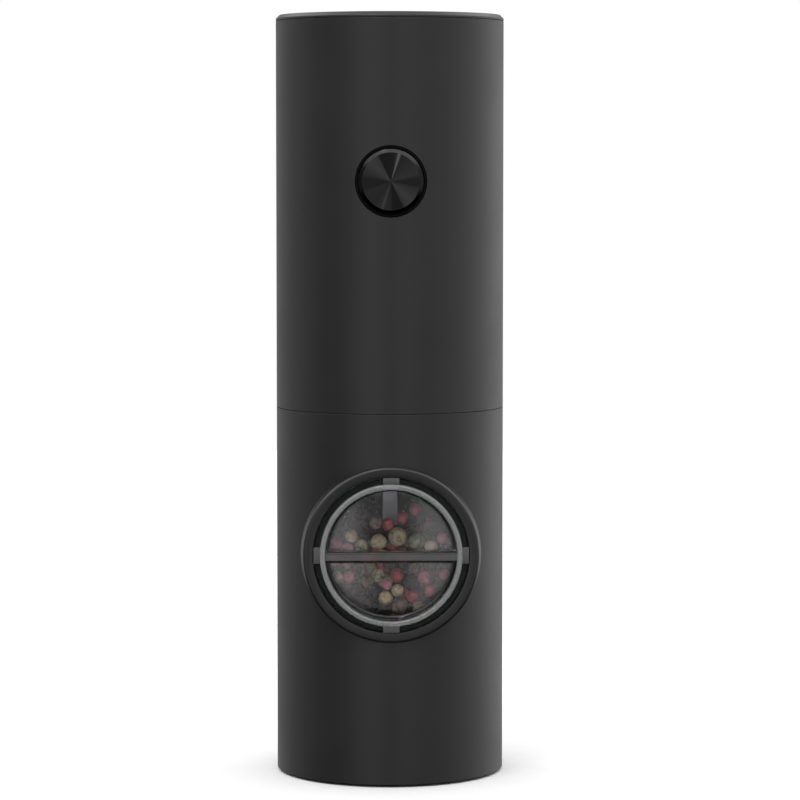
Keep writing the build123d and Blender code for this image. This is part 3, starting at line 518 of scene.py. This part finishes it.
# Grains that lie against the window: across, up, radius in millimetres, variety.
WINDOW_GRAINS = (
    (2.9, 65.9, 1.6, "red"),
    (-0.7, 64.3, 1.6, "red"),
    (-3.8, 64.7, 1.6, "brown"),
    (-3.0, 59.9, 2.05, "olive"),
    (1.7, 61.2, 2.35, "olive"),
    (6.3, 60.1, 2.05, "green"),
    (-9.7, 61.4, 1.6, "cream"),
    (-7.2, 59.1, 1.6, "olive"),
    (-10.7, 58.3, 1.5, "pink"),
    (-13.5, 59.6, 1.5, "red"),
    (-14.0, 55.4, 1.5, "pink"),
    (9.9, 58.8, 1.65, "cream"),
    (12.7, 60.9, 1.4, "pink"),
    (-3.2, 51.7, 1.75, "olive"),
    (1.5, 51.7, 1.75, "red"),
    (-1.0, 49.4, 1.3, "pink"),
    (1.7, 47.95, 1.6, "cream"),
    (-1.3, 46.0, 1.8, "cream"),
    (5.5, 46.5, 1.6, "red"),
    (2.2, 44.0, 2.2, "brown"),
    (6.9, 43.6, 1.7, "olive"),
    (8.3, 51.1, 1.7, "pink"),
    (9.6, 47.8, 1.5, "red"),
    (-13.1, 51.2, 1.5, "cream"),
    (-10.5, 51.2, 1.65, "pink"),
    (-2.6, 43.6, 1.7, "black"),
    (-7.5, 53.1, 1.65, "brown"),
    (-11.0, 54.8, 1.6, "brown"),
    (13.2, 51.9, 1.4, "pink"),
    (6.0, 68.0, 1.5, "red"),
    (7.3, 65.6, 1.5, "black"),
    (-4.5, 57.2, 1.4, "red"),
    (3.0, 57.0, 1.5, "pink"),
    (6.9, 57.2, 1.4, "brown"),
)


def front_limit(across, up, radius):
    """How far forward a grain's middle may lie: the jar's bore, or deeper into the port behind the cap."""
    off_port = np.hypot(across, up - centre_z)
    bore = np.sqrt(np.maximum((JAR_BORE - radius) ** 2 - across**2, 0.0))
    behind_cup = np.full_like(across, CUP_BACK) - radius
    behind_skirt = np.full_like(across, SKIRT_BACK) - radius
    in_cup = off_port <= CUP_BORE - radius
    in_port = off_port <= PORT_BORE - radius
    near_skirt = off_port <= CAP_SKIRT + radius
    in_jar = np.where(near_skirt, np.minimum(bore, behind_skirt), bore)
    return np.where(in_cup, behind_cup, np.where(in_port, behind_skirt, in_jar))


def poured():
    """Grains poured into the jar: overlaps are pushed apart while the pile sinks. Some overlaps stay."""
    pinned = np.array([[x, 0.0, z] for x, z, _, _ in WINDOW_GRAINS])
    pinned_radius = np.array([r for _, _, r, _ in WINDOW_GRAINS])
    pinned[:, 1] = -front_limit(pinned[:, 0], pinned[:, 2], pinned_radius)
    rng = np.random.default_rng(7)
    loose = LOOSE_GRAINS
    radius = np.concatenate([pinned_radius, rng.uniform(1.6, 2.2, loose)])
    angle, span = rng.uniform(0, FULL_TURN, loose), np.sqrt(rng.uniform(0.02, 1, loose)) * 22.5
    place = np.column_stack([span * np.cos(angle), span * np.sin(angle), rng.uniform(37, 72, loose)])
    place = np.vstack([pinned, place])
    fixed = len(pinned)
    for step in range(SETTLING_STEPS):
        place[fixed:, 2] -= 0.10 if step < 110 else 0.02
        if step % 6 == 0:
            apart = place[:, None, :] - place[None, :, :]
            first, second = np.nonzero(np.triu((apart**2).sum(2) < 5.6**2, 1))
        for _ in range(2):
            gap = place[first] - place[second]
            length = np.sqrt((gap**2).sum(1)) + 1e-9
            push = np.maximum(radius[first] + radius[second] - length, 0) * 0.5
            move = gap / length[:, None] * push[:, None] * 0.7
            np.add.at(place, first, move)
            np.add.at(place, second, -move)
            place[:fixed] = pinned
            x, y, z = place.T
            r = np.hypot(x, y)
            lean = np.maximum(SHAFT_CLEAR + radius - r, 0)
            x += x / (r + 1e-9) * lean
            y += y / (r + 1e-9) * lean
            r = np.hypot(x, y)
            limit = front_limit(x, z, radius)
            wide = np.minimum(1.0, (JAR_BORE - radius) / (r + 1e-9))
            in_port = (np.hypot(x, z - centre_z) <= PORT_BORE - radius) & (y < 0)
            x[:] = np.where(in_port, x, x * wide)
            y[:] = np.where(in_port, y, y * wide)
            y[:] = np.maximum(y, -np.where(y < 0, limit, JAR_BORE))
            floor = np.where(
                r < STIRRER_REACH + radius,
                STIRRER_TOP + radius,
                FUNNEL_TOP - (JAR_BORE - r) * FUNNEL_SLOPE + 1.2 * radius,
            )
            z[:] = np.maximum(z, floor)
            place[:fixed] = pinned
    return place, radius


place, radius = poured()
in_window = np.arange(len(place)) < len(WINDOW_GRAINS)
ahead = (place[:, 1] < -13) & (place[:, 2] > 61.5)
keep = in_window | ((place[:, 2] < FILL_LEVEL) & ~ahead)
varieties = [v for _, _, _, v in WINDOW_GRAINS]
draw = random.Random(5)
BLEND = {"black": 56, "brown": 22, "olive": 7, "green": 3, "red": 8, "pink": 3, "cream": 1}
while len(varieties) < len(place):
    varieties.append(draw.choices(list(BLEND), list(BLEND.values()))[0])


def seed_grain(name, subdivisions, wrinkle, seed):
    """One grain of radius 1 at the origin, its skin shrunk into soft dents."""
    clear()
    bpy.ops.mesh.primitive_ico_sphere_add(subdivisions=subdivisions, radius=1.0, location=(0, 0, 0))
    grain = settle(name)
    bpy.ops.object.mode_set(mode="EDIT")
    bpy.ops.mesh.select_all(action="SELECT")
    bpy.ops.transform.vertex_random(offset=wrinkle, uniform=0.0, normal=1.0, seed=seed)
    bpy.ops.object.mode_set(mode="OBJECT")
    return grain


GRAIN_SHRINK = 0.985
WRINKLES = {"black": 0.1, "brown": 0.09, "olive": 0.07, "green": 0.05, "red": 0.015, "pink": 0.02, "cream": 0.03}


def grain_finish(name, colours, rough, wrinkle, depth, gloss=0.0):
    """A dried berry's skin: blotches, a wrinkle net with painted shade darkening its dents, and a per-grain shade."""
    made, tree, shader = material(name, IOR=1.45, Coat_Weight=gloss, Coat_Roughness=0.15, Subsurface_Weight=0.08)
    shader.inputs["Subsurface Scale"].default_value = 0.8 * MM
    space = texture_space(tree)
    warp = add(tree, "TexNoise", {"Vector": space, "Scale": 1 / (0.9 * MM), "Detail": 3.0})
    bend = add(tree, "VectorMath", {0: warp.outputs["Color"], "Scale": 0.8 * MM}, operation="SCALE")
    bent = add(tree, "VectorMath", {0: space, 1: bend.outputs["Vector"]}, operation="ADD")
    net = add(
        tree,
        "TexVoronoi",
        {"Vector": bent.outputs["Vector"], "Scale": 1 / (wrinkle * MM)},
        feature="SMOOTH_F1",
    )
    blotch = add(tree, "TexNoise", {"Vector": space, "Scale": 1 / (1.3 * MM), "Detail": 4.0})
    shade = add(tree, "Attribute", attribute_name="shade")
    mottle = add(tree, "MapRange", {"Value": blotch.outputs["Fac"], "From Min": 0.3, "From Max": 0.7, "To Max": 0.5})
    # Painted shade: darker in the dents of the wrinkle net, lighter on its ridges.
    ridge = add(tree, "MapRange", {"Value": net.outputs["Distance"], "From Min": 0.1, "From Max": 0.7, "To Max": 0.35})
    crease_shaded_blotches = add(tree, "Math", {0: mottle.outputs["Result"], 1: ridge.outputs["Result"]}, operation="ADD")
    level = add(tree, "Math", {0: shade.outputs["Fac"], 1: 0.35, 2: crease_shaded_blotches.outputs["Value"]}, operation="MULTIPLY_ADD")
    tint = stops(add(tree, "ValToRGB", {"Fac": level.outputs["Value"]}), *colours)
    tree.links.new(tint.outputs["Color"], shader.inputs["Base Color"])
    shader.inputs["Roughness"].default_value = rough
    relief(tree, shader, net.outputs["Distance"], depth)
    return made


GRAIN_FINISHES = {
    # Black pepper: dried drupe, nearly black brown, deep net of wrinkles.
    "black": grain_finish("black_peppercorn", [(0.2, "#0b0807"), (0.5, "#1a1411"), (0.8, "#332a24")], 0.6, 0.55, 0.28),
    # Sun-dried brown pepper.
    "brown": grain_finish("brown_peppercorn", [(0.2, "#241a14"), (0.5, "#4a3b2f"), (0.8, "#8a7660")], 0.6, 0.55, 0.26),
    # Half-ripe pepper: khaki with dark and light speckles.
    "olive": grain_finish("olive_peppercorn", [(0.2, "#2c281a"), (0.45, "#6f6747"), (0.8, "#c2b68f")], 0.6, 0.5, 0.24),
    # Green pepper, freeze-dried.
    "green": grain_finish("green_peppercorn", [(0.2, "#2a2f1c"), (0.5, "#596040"), (0.8, "#8d9468")], 0.55, 0.7, 0.16),
    # Pink pepper berry: brittle, shiny crimson skin.
    "red": grain_finish("red_peppercorn", [(0.2, "#5c0a16"), (0.5, "#941426"), (0.8, "#bb3040")], 0.32, 1.2, 0.06, 0.6),
    # Faded pink pepper berry.
    "pink": grain_finish(
        "pink_peppercorn", [(0.2, "#7e3444"), (0.5, "#a95264"), (0.8, "#c57b86")], 0.45, 1.0, 0.08, 0.3
    ),
    # White pepper: the hulled core, cream and nearly smooth.
    "cream": grain_finish("white_peppercorn", [(0.2, "#86704f"), (0.5, "#b39c76"), (0.8, "#dccbab")], 0.55, 0.9, 0.07),
}

for variety, wrinkle in WRINKLES.items():
    copies = []
    for fine in (True, False):
        master = seed_grain("grain_master", 3 if fine else 2, wrinkle * (0.6 if fine else 1.0), 3 if fine else 9)
        for i in range(len(place)):
            if not keep[i] or varieties[i] != variety or (i < len(WINDOW_GRAINS)) != fine:
                continue
            copy = master.copy()
            copy.data = master.data.copy()
            spun = draw.uniform(0, FULL_TURN)
            turn = Matrix.Rotation(spun, 4, Vector((draw.uniform(-1, 1), draw.uniform(-1, 1), 1)))
            grow = Matrix.Diagonal((*[radius[i] * MM * GRAIN_SHRINK] * 3, 1))
            copy.data.transform(Matrix.Translation(Vector(place[i]) * MM) @ turn @ grow)
            tone = copy.data.attributes.new("shade", "FLOAT", "POINT")
            tone.data.foreach_set("value", [draw.uniform(0.15, 1.0)] * len(copy.data.vertices))
            bpy.context.scene.collection.objects.link(copy)
            copies.append(copy)
        bpy.data.objects.remove(master)
    clear()
    for copy in copies:
        copy.select_set(True)
    bpy.context.view_layer.objects.active = copies[0]
    bpy.ops.object.join()
    heap = bpy.context.object
    heap.name = variety + "_peppercorns"
    polish(heap, 60)
    fit(heap, GRAIN_FINISHES[variety], "inner_black", "mill_base")


# ------------------------------------------------------------------ casings and top cap
def post(name, radius, low, high, axis="Z", place=(0, 0), steps=192):
    """A round tool or lug along Z, or along Y from the mill's axis forwards, in millimetres."""
    clear()
    turn = (math.pi / 2, 0, 0) if axis == "Y" else (0, 0, 0)
    middle = (low + high) / 2
    spot = (place[0], -middle, place[1]) if axis == "Y" else (place[0], place[1], middle)
    bpy.ops.mesh.primitive_cylinder_add(
        vertices=steps, radius=radius * MM, depth=(high - low) * MM, location=Vector(spot) * MM, rotation=turn
    )
    return settle(name)


def tube(name, inner, outer, low, high, turning=UPRIGHT, steps=192):
    return turned(name, [(inner, low), (outer, low), (outer, high), (inner, high), (inner, low)], turning, steps)


# The seams' gaps are drawn a little narrower than in the CAD, with a fine break on each edge. Long walls keep
# straight normals when every edge over the crisp angle stays sharp.
SEAM_FILL, SEAM_BREAK, CRISP = 0.03, 0.07, 12
outer, inner = body_radius / MM, 26.5
button_z = button_height / MM
low, high = sleeve_low.z / MM, sleeve_high.z / MM
lower_case = soften(tube("lower_casing", inner, outer, low, high + SEAM_FILL), SEAM_BREAK)
combine(lower_case, post("port_cut", 20.65, 5, 40, "Y", (0, centre_z)), "DIFFERENCE")
polish(lower_case, CRISP)
fit(lower_case, casing_abs, "housing_black", "mill_base", "lower_sleeve")

housing_low, housing_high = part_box("upper_housing")
low, high = housing_low.z / MM, housing_high.z / MM
upper_case = soften(tube("upper_casing", inner, outer, low - SEAM_FILL, high + SEAM_FILL), SEAM_BREAK)
LUG_LOW, LUG_HEIGHT, LUG_CIRCLE, LUG_RADIUS, LUG_PILOT = 101.55, 9.5, 24.7, 2.6, 0.9
for angle in (90, 210, 330):
    spot = (LUG_CIRCLE * math.cos(math.radians(angle)), LUG_CIRCLE * math.sin(math.radians(angle)))
    lug = post("lug", LUG_RADIUS, LUG_LOW, LUG_LOW + LUG_HEIGHT, place=spot, steps=48)
    combine(lug, post("lug_trim", outer - 0.5, LUG_LOW - 1, LUG_LOW + LUG_HEIGHT + 1), "INTERSECT")
    combine(lug, post("pilot", LUG_PILOT, LUG_LOW - 1, LUG_LOW + LUG_HEIGHT + 1, place=spot, steps=32), "DIFFERENCE")
    combine(upper_case, lug, "UNION")
combine(upper_case, post("button_cut", 8.8, 5, 40, "Y", (0, button_z), 128), "DIFFERENCE")
polish(upper_case, CRISP)
fit(upper_case, casing_abs, "housing_black", "power_unit", "upper_housing")

top = mill_top / MM
plug_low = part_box("top_cap")[0].z / MM
brow, plug, groove = top - 1.4, inner - 0.2, inner - 0.2 - 0.65
outline = [(0, brow), (plug - 1.9, brow), (plug - 1.9, plug_low), (plug, plug_low), (plug, plug_low + 1.4)]
outline += [(groove, plug_low + 1.4), (groove, plug_low + 2.5), (plug, plug_low + 2.5), (plug, brow)]
outline += [(outer - SEAM_BREAK, brow - SEAM_FILL), (outer, brow - SEAM_FILL + SEAM_BREAK), (outer, top - 0.94)]
outline += [(outer - 0.06, top - 0.84), (outer - 0.84, top - 0.06), (outer - 0.98, top), (0, top)]
lid = turned("top_lid", outline)
polish(lid, CRISP)
fit(lid, casing_abs, "housing_black", "lid", "top_cap")

# ------------------------------------------------------------------ port face
BORE, TAIL, STEP, JAR = 18.6, 20.6, 19.2, 24.8
RIDGE, LEAD, REACH = 1.0, 20.0, 25.0
front = port_face / MM
draft = math.tan(math.radians(7))


def thread_pair(piece, inner_radius, outer_radius, ridge_front):
    """Joins the two short threads of a quick screw to a piece of the port."""
    tilt = math.atan(LEAD / (2 * math.pi * BORE))
    half = outer_radius * math.sin(math.radians(REACH))
    for side in (1, -1):
        ridge = tube("ridge", inner_radius, outer_radius, ridge_front - 7, ridge_front + 5, PORT, 144)
        clear()
        bpy.ops.mesh.primitive_cube_add(
            size=1,
            location=Vector((side * outer_radius, RIDGE / 2 - ridge_front, centre_z)) * MM,
            rotation=(side * tilt, 0, 0),
            scale=Vector((2 * outer_radius - 0.2, RIDGE, 2 * half)) * MM,
        )
        combine(ridge, settle("ridge_slab"), "INTERSECT")
        combine(piece, ridge, "UNION")


face_radius = 21.6
seat = front - 1.9
foot = 24.0
outline = [(BORE, 9.95), (TAIL, 9.95), (TAIL, foot), (face_radius + (front - foot) * draft - 0.03, foot)]
outline += arc((face_radius - 0.65, front - 0.7), 0.7, 5, 90, 8)
outline += [(STEP + 0.12, front), (STEP + 0.03, front - 0.03), (STEP, front - 0.12), (STEP, seat), (BORE, seat)]
outline += [(BORE, 9.95)]
port = turned("port_ring", outline, PORT)
combine(port, post("jar_trim", JAR, 0, 120), "DIFFERENCE")
casing_trim = post("casing_trim", outer + 0.05, 0, 120, steps=256)
combine(casing_trim, post("tail_keep", TAIL, 5, 40, "Y", (0, centre_z)), "DIFFERENCE")
combine(port, casing_trim, "DIFFERENCE")
thread_pair(port, BORE - 0.85, BORE + 0.8, front - 4.6)
polish(port)
fit(port, port_abs, "housing_black", "mill_base", "window_collar")

# ------------------------------------------------------------------ window cap
cup, skirt, rim, flange = 16.15, 17.5, cap_rim / MM, 18.95
lip = 0.567
flange_back, flange_front = 27.5, 28.8
floor_front, floor_back, dome = 24.5, 22.9, 0.9


def domed(level, reach, count=20):
    """The outline of a shallow dome across the cup, from the axis out."""
    steps = [reach * i / count for i in range(count + 1)]
    return [(r, level + dome * (1 - (r / cup) ** 2)) for r in steps]


cove = 0.85  # the rounded foot of the cup's wall
outline = domed(floor_back, cup)
outline += [(cup, 21.6), (skirt, 21.6), (skirt, flange_back), (flange - 0.1, flange_back), (flange, flange_back + 0.1)]
outline += [(flange, flange_front - 0.25), (flange - 0.25, flange_front), (skirt, flange_front)]
outline += arc((skirt - lip, rim - lip), lip, 0, 90)
outline += arc((cup + lip, rim - lip), lip, 90, 180)
outline += arc((cup - cove, floor_front + cove + 0.09), cove, 0, -84)
outline += list(reversed(domed(floor_front, cup - cove)))
window_cap = turned("clear_port_cap", outline, PORT, steps=160)
GRIP_REACH, GRIP_BELOW, GRIP_ABOVE = 16.8, 1.9, 1.0
grip_low = (-GRIP_REACH, -(rim - 0.6), centre_z - GRIP_BELOW)
grip_high = (GRIP_REACH, -(floor_front - 0.5), centre_z + GRIP_ABOVE)
grip = block("grip", grip_low, grip_high)
bpy.ops.object.mode_set(mode="EDIT")
bpy.ops.mesh.select_all(action="DESELECT")
bpy.ops.object.mode_set(mode="OBJECT")
for line in grip.data.edges:
    a, b = (grip.data.vertices[i].co for i in line.vertices)
    line.select = max(a.y, b.y) < -(rim - 1.0) * MM and abs(a.x - b.x) > MM
bpy.ops.object.mode_set(mode="EDIT")
bpy.ops.mesh.bevel(offset=0.7 * MM, segments=5)
bpy.ops.object.mode_set(mode="OBJECT")
combine(window_cap, grip, "UNION")
for across, up in ((1, 0), (-1, 0), (0, 1), (0, -1)):
    middle = Vector((across, 0, up)) * (skirt + flange) / 2 + Vector((0, 0, centre_z))
    half = Vector((abs(across), 0, abs(up))) * (flange - skirt + 0.1) / 2 + Vector((abs(up), 0, abs(across))) * 2.0
    low, high = middle - half, middle + half
    low.y, high.y = -(rim - 0.6), -(flange_front - 0.1)
    combine(window_cap, soften(block("tab", low, high), 0.15), "UNION")
thread_pair(window_cap, skirt - 0.05, BORE - 0.2, 23.4)
polish(window_cap, 38)
fit(window_cap, clear_san, "clear_plastic", "port_cap", "window_cap")
for finish in (painted_glow_rim_san, grip_san, painted_shade_san):
    window_cap.data.materials.append(finish)
# Finish slots by area: 1 the rim's painted glow, 2 the smoky grip and the tabs' fronts, 3 painted shade on the flange,
# the cup's rounded foot and the grip's upper and lower edges.
for facet in window_cap.data.polygons:
    x, y, z = facet.center / MM
    off = math.hypot(x, z - centre_z)
    if off > skirt + 0.02 and -y > flange_back - 0.1:
        facet.material_index = 2 if -y > flange_front + 0.05 else 3
    elif off > cup + 0.02 and -y > flange_front - 0.2:
        facet.material_index = 1
    elif cup - cove < off < cup + 0.02 and floor_front - 0.1 < -y < rim - lip:
        facet.material_index = 3
    elif -1.95 < z - centre_z < 1.05 and off < cup and -y > floor_front + 1.0:
        facet.material_index = 2 if -1.25 < z - centre_z < 0.35 else 3

# ------------------------------------------------------------------ button
face = button_face / MM
edge = 0.1
outline = [(0, face - 1.45), (7.8, face - 1.45), (7.9, face - 1.35), (7.9, face - 0.5 - edge)]
outline += [(7.87, face - 0.5 + edge / 2), (7.1, face - 0.02), (7.1 - edge / 2, face), (0, face)]
button = turned("button_disc", outline, BUTTON, steps=128)
polish(button, 20)
fit(button, button_metal, "button_metal", "button", "button_cap")
button.data.materials.append(button_edge)
for facet in button.data.polygons:
    x, y, z = facet.center / MM
    facet.material_index = 1 if math.hypot(x, z - button_z) > 7.05 else 0

bezel_front, bezel_back = -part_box("button_bezel")[0].y / MM, -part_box("button_bezel")[1].y / MM
plate_radius, ring_radius, ring_bore, stem_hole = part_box("button_bezel")[1].x / MM, 8.75, 8.1, 2.2
outline = [(stem_hole, bezel_back), (plate_radius - 0.2, bezel_back), (plate_radius, bezel_back + 0.2)]
outline += [(plate_radius, bezel_back + 0.8), (plate_radius - 0.2, bezel_back + 1.0), (ring_radius, bezel_back + 1.0)]
outline += [(ring_radius, bezel_front - 0.15), (ring_radius - 0.15, bezel_front), (ring_bore + 0.15, bezel_front)]
outline += [(ring_bore, bezel_front - 0.15), (ring_bore, bezel_back + 1.0), (stem_hole, bezel_back + 1.0)]
outline += [(stem_hole, bezel_back)]
bezel = turned("button_surround", outline, BUTTON, steps=128)
polish(bezel, 30)
fit(bezel, bezel_abs, "bezel_black", "power_unit", "button_bezel")

# The return spring stands between the surround's plate and the button. It follows the button.
PRESS, WIRE, COIL_RADIUS, COIL_TURNS = 1.0, 0.45, 4.2, 2.5
spring_front, spring_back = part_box("button_spring")[0].y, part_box("button_spring")[1].y
clear()
bpy.ops.mesh.primitive_circle_add(vertices=10, radius=WIRE / 2 * MM, location=(COIL_RADIUS * MM, 0, 0))
spring = settle("button_return_spring")
coil = spring.modifiers.new("coil", "SCREW")
coil.axis = "Y"
coil.angle = FULL_TURN * COIL_TURNS
coil.screw_offset = spring_back - spring_front - WIRE * MM
coil.steps = coil.render_steps = 60
bpy.ops.object.modifier_apply(modifier=coil.name)
bpy.ops.object.mode_set(mode="EDIT")
bpy.ops.mesh.select_all(action="SELECT")
bpy.ops.mesh.fill_holes(sides=0)
bpy.ops.mesh.normals_make_consistent(inside=False)
bpy.ops.object.mode_set(mode="OBJECT")
spring.location = (0, spring_front + WIRE / 2 * MM, button_height)
settle("button_return_spring")
polish(spring, 60)
fit(spring, drawn_steel, "steel", "button", "button_spring")
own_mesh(spring)

# ------------------------------------------------------------------ floor, lights and camera
clear()
bpy.ops.mesh.primitive_circle_add(vertices=128, radius=0.9, fill_type="NGON", location=(0, 0, -0.00005))
floor = settle("studio_floor")
floor_white, tree, shader = material("studio_floor_white", Roughness=0.9, IOR=1.2)
space = texture_space(tree)
paper = add(tree, "TexNoise", {"Vector": space, "Scale": 1 / (8 * MM), "Detail": 2.0})
tint = stops(add(tree, "ValToRGB", {"Fac": paper.outputs["Fac"]}), (0.3, "#dfdfdf"), (0.7, "#e1e1e1"))
tree.links.new(tint.outputs["Color"], shader.inputs["Base Color"])
coat(floor, floor_white)
floor.visible_glossy = False

world = bpy.data.worlds.new("studio")
bpy.context.scene.world = world
world.use_nodes = True
tree = world.node_tree
tree.nodes.clear()
direction = add(tree, "TexCoord").outputs["Generated"]
split = add(tree, "SeparateXYZ", {"Vector": direction})
ahead = add(tree, "Math", {0: split.outputs["Y"], 1: -1.0}, operation="MULTIPLY")
around = add(tree, "Math", {0: split.outputs["X"], 1: ahead.outputs["Value"]}, operation="ARCTAN2")
turn = add(tree, "MapRange", {"Value": around.outputs["Value"], "From Min": -math.pi, "From Max": math.pi})
# Brightness of the tent's walls by azimuth in degrees: 0 is behind the camera, 90 to the right. The gap in
# front is the camera's own shadow, between two tall softboxes that fade out at their sides.
TENT = (
    (-180, 0.27),
    (-155, 0.36),
    (-146, 0.42),
    (-129, 0.41),
    (-116, 0.42),
    (-96, 0.41),
    (-72, 0.2),
    (-52, 0.18),
    (-42, 0.27),
    (-32, 0.6),
    (-16, 0.78),
    (-8, 0.8),
    (-4.5, 0.14),
    (0, 0.05),
    (4.5, 0.14),
    (8, 0.8),
    (16, 0.74),
    (24, 0.52),
    (32, 0.36),
    (60, 0.52),
    (75, 0.64),
    (96, 0.87),
    (117, 1.0),
    (129, 1.0),
    (146, 0.62),
    (180, 0.27),
)
tent = stops(
    add(tree, "ValToRGB", {"Fac": turn.outputs["Result"]}),
    *[((azimuth + 180) / 360, level) for azimuth, level in TENT],
)
walls = add(tree, "Background", {"Color": tent.outputs["Color"], "Strength": 1.3})
below = add(tree, "Background", {"Color": (0, 0, 0, 1), "Strength": 1.0})
above = add(tree, "Background", {"Color": (1, 1, 1, 1), "Strength": 2.2})
zenith = add(tree, "Background", {"Color": (1, 1, 1, 1), "Strength": 1.2})
seen = add(tree, "Background", {"Color": (1, 1, 1, 1), "Strength": BACKDROP})


def rise(low, high):
    """Goes from 0 to 1 between two heights of the direction."""
    made = add(
        tree,
        "MapRange",
        {"Value": split.outputs["Z"], "From Min": low, "From Max": high},
        interpolation_type="SMOOTHSTEP",
    )
    return made.outputs["Result"]


lower = add(tree, "MixShader", {0: rise(-0.42, -0.16), 1: below.outputs[0], 2: walls.outputs[0]})
middle = add(tree, "MixShader", {0: rise(0.35, 0.55), 1: lower.outputs[0], 2: above.outputs[0]})
upper = add(tree, "MixShader", {0: rise(0.82, 0.9), 1: middle.outputs[0], 2: zenith.outputs[0]})
path = add(tree, "LightPath")
both = add(tree, "MixShader", {0: path.outputs["Is Camera Ray"], 1: upper.outputs[0], 2: seen.outputs[0]})
add(tree, "OutputWorld", {"Surface": both.outputs[0]})


def softbox(name, place, aim, width, height, radiance):
    """A rectangular lamp, its power worked out from the brightness of its face."""
    clear()
    bpy.ops.object.light_add(type="AREA", location=place)
    lamp = bpy.context.object
    lamp.name = name
    lamp.data.shape = "RECTANGLE"
    lamp.data.size, lamp.data.size_y = width, height
    lamp.data.energy = radiance * math.pi * width * height
    lamp.rotation_euler = (Vector(aim) - Vector(place)).to_track_quat("-Z", "Y").to_euler()


softbox("overhead", (-0.15, -0.33, 0.79), (0, 0, 0.17), 0.12, 0.12, KEY_LAMP)

clear()
target = Vector((0.00257, 0, 0.09348))
elevation = math.radians(4.16)
distance = 0.859
azimuth = math.radians(-0.65)
level = distance * math.cos(elevation)
eye = Vector((level * math.sin(azimuth), -level * math.cos(azimuth), 0.095 + distance * math.sin(elevation)))
bpy.ops.object.camera_add(location=eye, rotation=(target - eye).to_track_quat("-Z", "Y").to_euler())
camera = bpy.context.object
camera.data.sensor_width = 36.0
camera.data.lens = 153.24
camera.data.clip_start = 0.01
bpy.context.scene.camera = camera
bpy.context.scene.view_settings.view_transform = "Standard"
